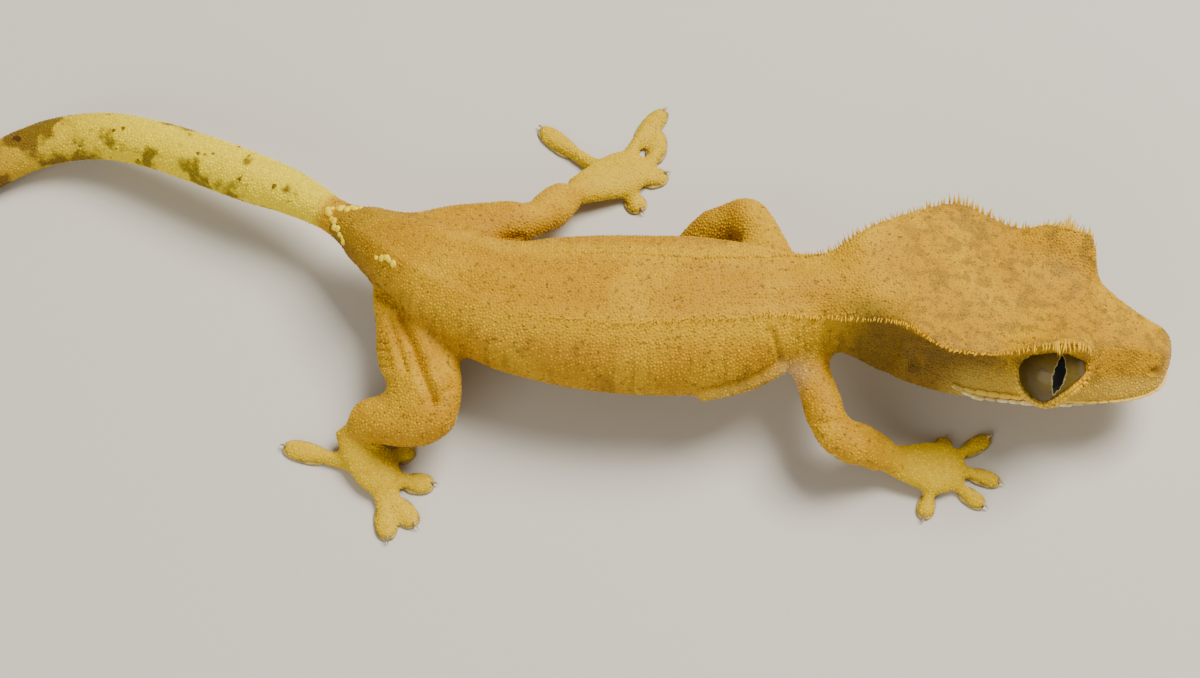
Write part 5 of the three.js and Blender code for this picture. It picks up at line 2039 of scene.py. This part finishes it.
@dataclass
class Studio:
    """Plain pale floor, soft light, and the camera at the photograph's angle.

    Attributes:
        look_at: what the camera looks at, in metres.
        elevation: how far above level the camera stands, in degrees.
        distance: how far off it stands.
        lens: its focal length in millimetres.
        floor_size: half the floor's width.
        lamps: of each lamp, its name, place, watts and width.
        sky: strength of the light from all round.
    """

    look_at: tuple[float, float, float] = (0.01168, -0.00869, 0.010)
    elevation: float = 62.0
    distance: float = 0.23
    lens: float = 60.0
    floor_size: float = 3.0
    lamps: tuple[tuple[str, tuple[float, float, float], float, float], ...] = (
        ("key", (0.32, 0.24, 0.64), 10.8, 0.4), ("fill", (-0.4, -0.72, 0.42), 5.0, 0.7))
    sky: float = 0.3

    def build(self) -> None:
        """Floor, lights and camera."""
        self.floor()
        self.lights()
        self.camera()

    def floor(self) -> None:
        """A wide plain floor just under the feet."""
        corners = np.array([(-1, -1, 0), (1, -1, 0), (1, 1, 0), (-1, 1, 0)]) * self.floor_size
        floor = new_mesh("floor", corners - (0, 0, 0.02 * MM), np.array([[0, 1, 2, 3]]))
        made = bpy.data.materials.new("floor_paper")
        made.use_nodes = True
        shader = made.node_tree.nodes["Principled BSDF"]
        shader.inputs["Base Color"].default_value = linear("#C9C5BC")
        shader.inputs["Roughness"].default_value = 0.9
        floor.data.materials.append(made)

    def lights(self) -> None:
        """A large soft key above the left shoulder, a weak fill, and a pale sky."""
        for name, place, power, size in self.lamps:
            data = bpy.data.lights.new(name, "AREA")
            data.energy = power
            data.size = size
            data.color = (1.0, 0.95, 0.87)
            lamp = bpy.data.objects.new(name, data)
            lamp.location = place
            lamp.rotation_euler = (-Vector(place)).to_track_quat("-Z", "Y").to_euler()
            bpy.context.scene.collection.objects.link(lamp)
        world = bpy.data.worlds.new("studio")
        world.use_nodes = True
        sky = world.node_tree.nodes["Background"]
        sky.inputs["Color"].default_value = linear("#E9E6DF")
        sky.inputs["Strength"].default_value = self.sky
        bpy.context.scene.world = world

    def camera(self) -> None:
        """The camera, square to the body's side and high above it."""
        slope = math.radians(self.elevation)
        away = Vector((0, -math.cos(slope), math.sin(slope)))
        data = bpy.data.cameras.new("camera")
        data.lens = self.lens
        data.sensor_width = 36.0
        data.clip_start = 0.005
        camera = bpy.data.objects.new("camera", data)
        camera.location = Vector(self.look_at) + self.distance * away
        camera.rotation_euler = (-away).to_track_quat("-Z", "Y").to_euler()
        bpy.context.scene.collection.objects.link(camera)
        bpy.context.scene.camera = camera


FLESH = ("torso", "neck", "head", "tail_base", "tail_middle", "tail_tip", *LEGS, *FEET)


def main() -> None:
    """Builds every class in order."""
    logging.basicConfig(level=logging.INFO, format="%(message)s")
    gecko = Gecko()
    chart = Chart(gecko)
    finish = LivingSkin()
    skin_look = finish.material("gecko_skin", False)
    scale_look = finish.material("gecko_scales", True)
    body = Skin(gecko)
    skin = body.build(chart)
    finish_piece(skin, skin_look, FLESH)
    Scales().build(skin, body, chart, scale_look)
    Crest(gecko).build(chart, body, scale_look)
    Lips(gecko).build((scale_look, LIP_CREAM.material("lip_scale_cream")), chart)
    Lids().build(chart, scale_look)
    eye_look = WetEye().material("wet_eye")
    for side, name in ((1, "eye_left"), (-1, "eye_right")):
        finish_piece(Eye(side).build(), eye_look, (name,))
    toes = Toes(gecko)
    toes.pads(PAD_SKIN.material("pad_skin"))
    toes.claws(CLAW_HORN.material("claw_horn"))
    TailBeads().build(body, BEAD_YELLOW.material("bead_scales"))
    Studio().build()


if __name__ == "__main__":
    main()
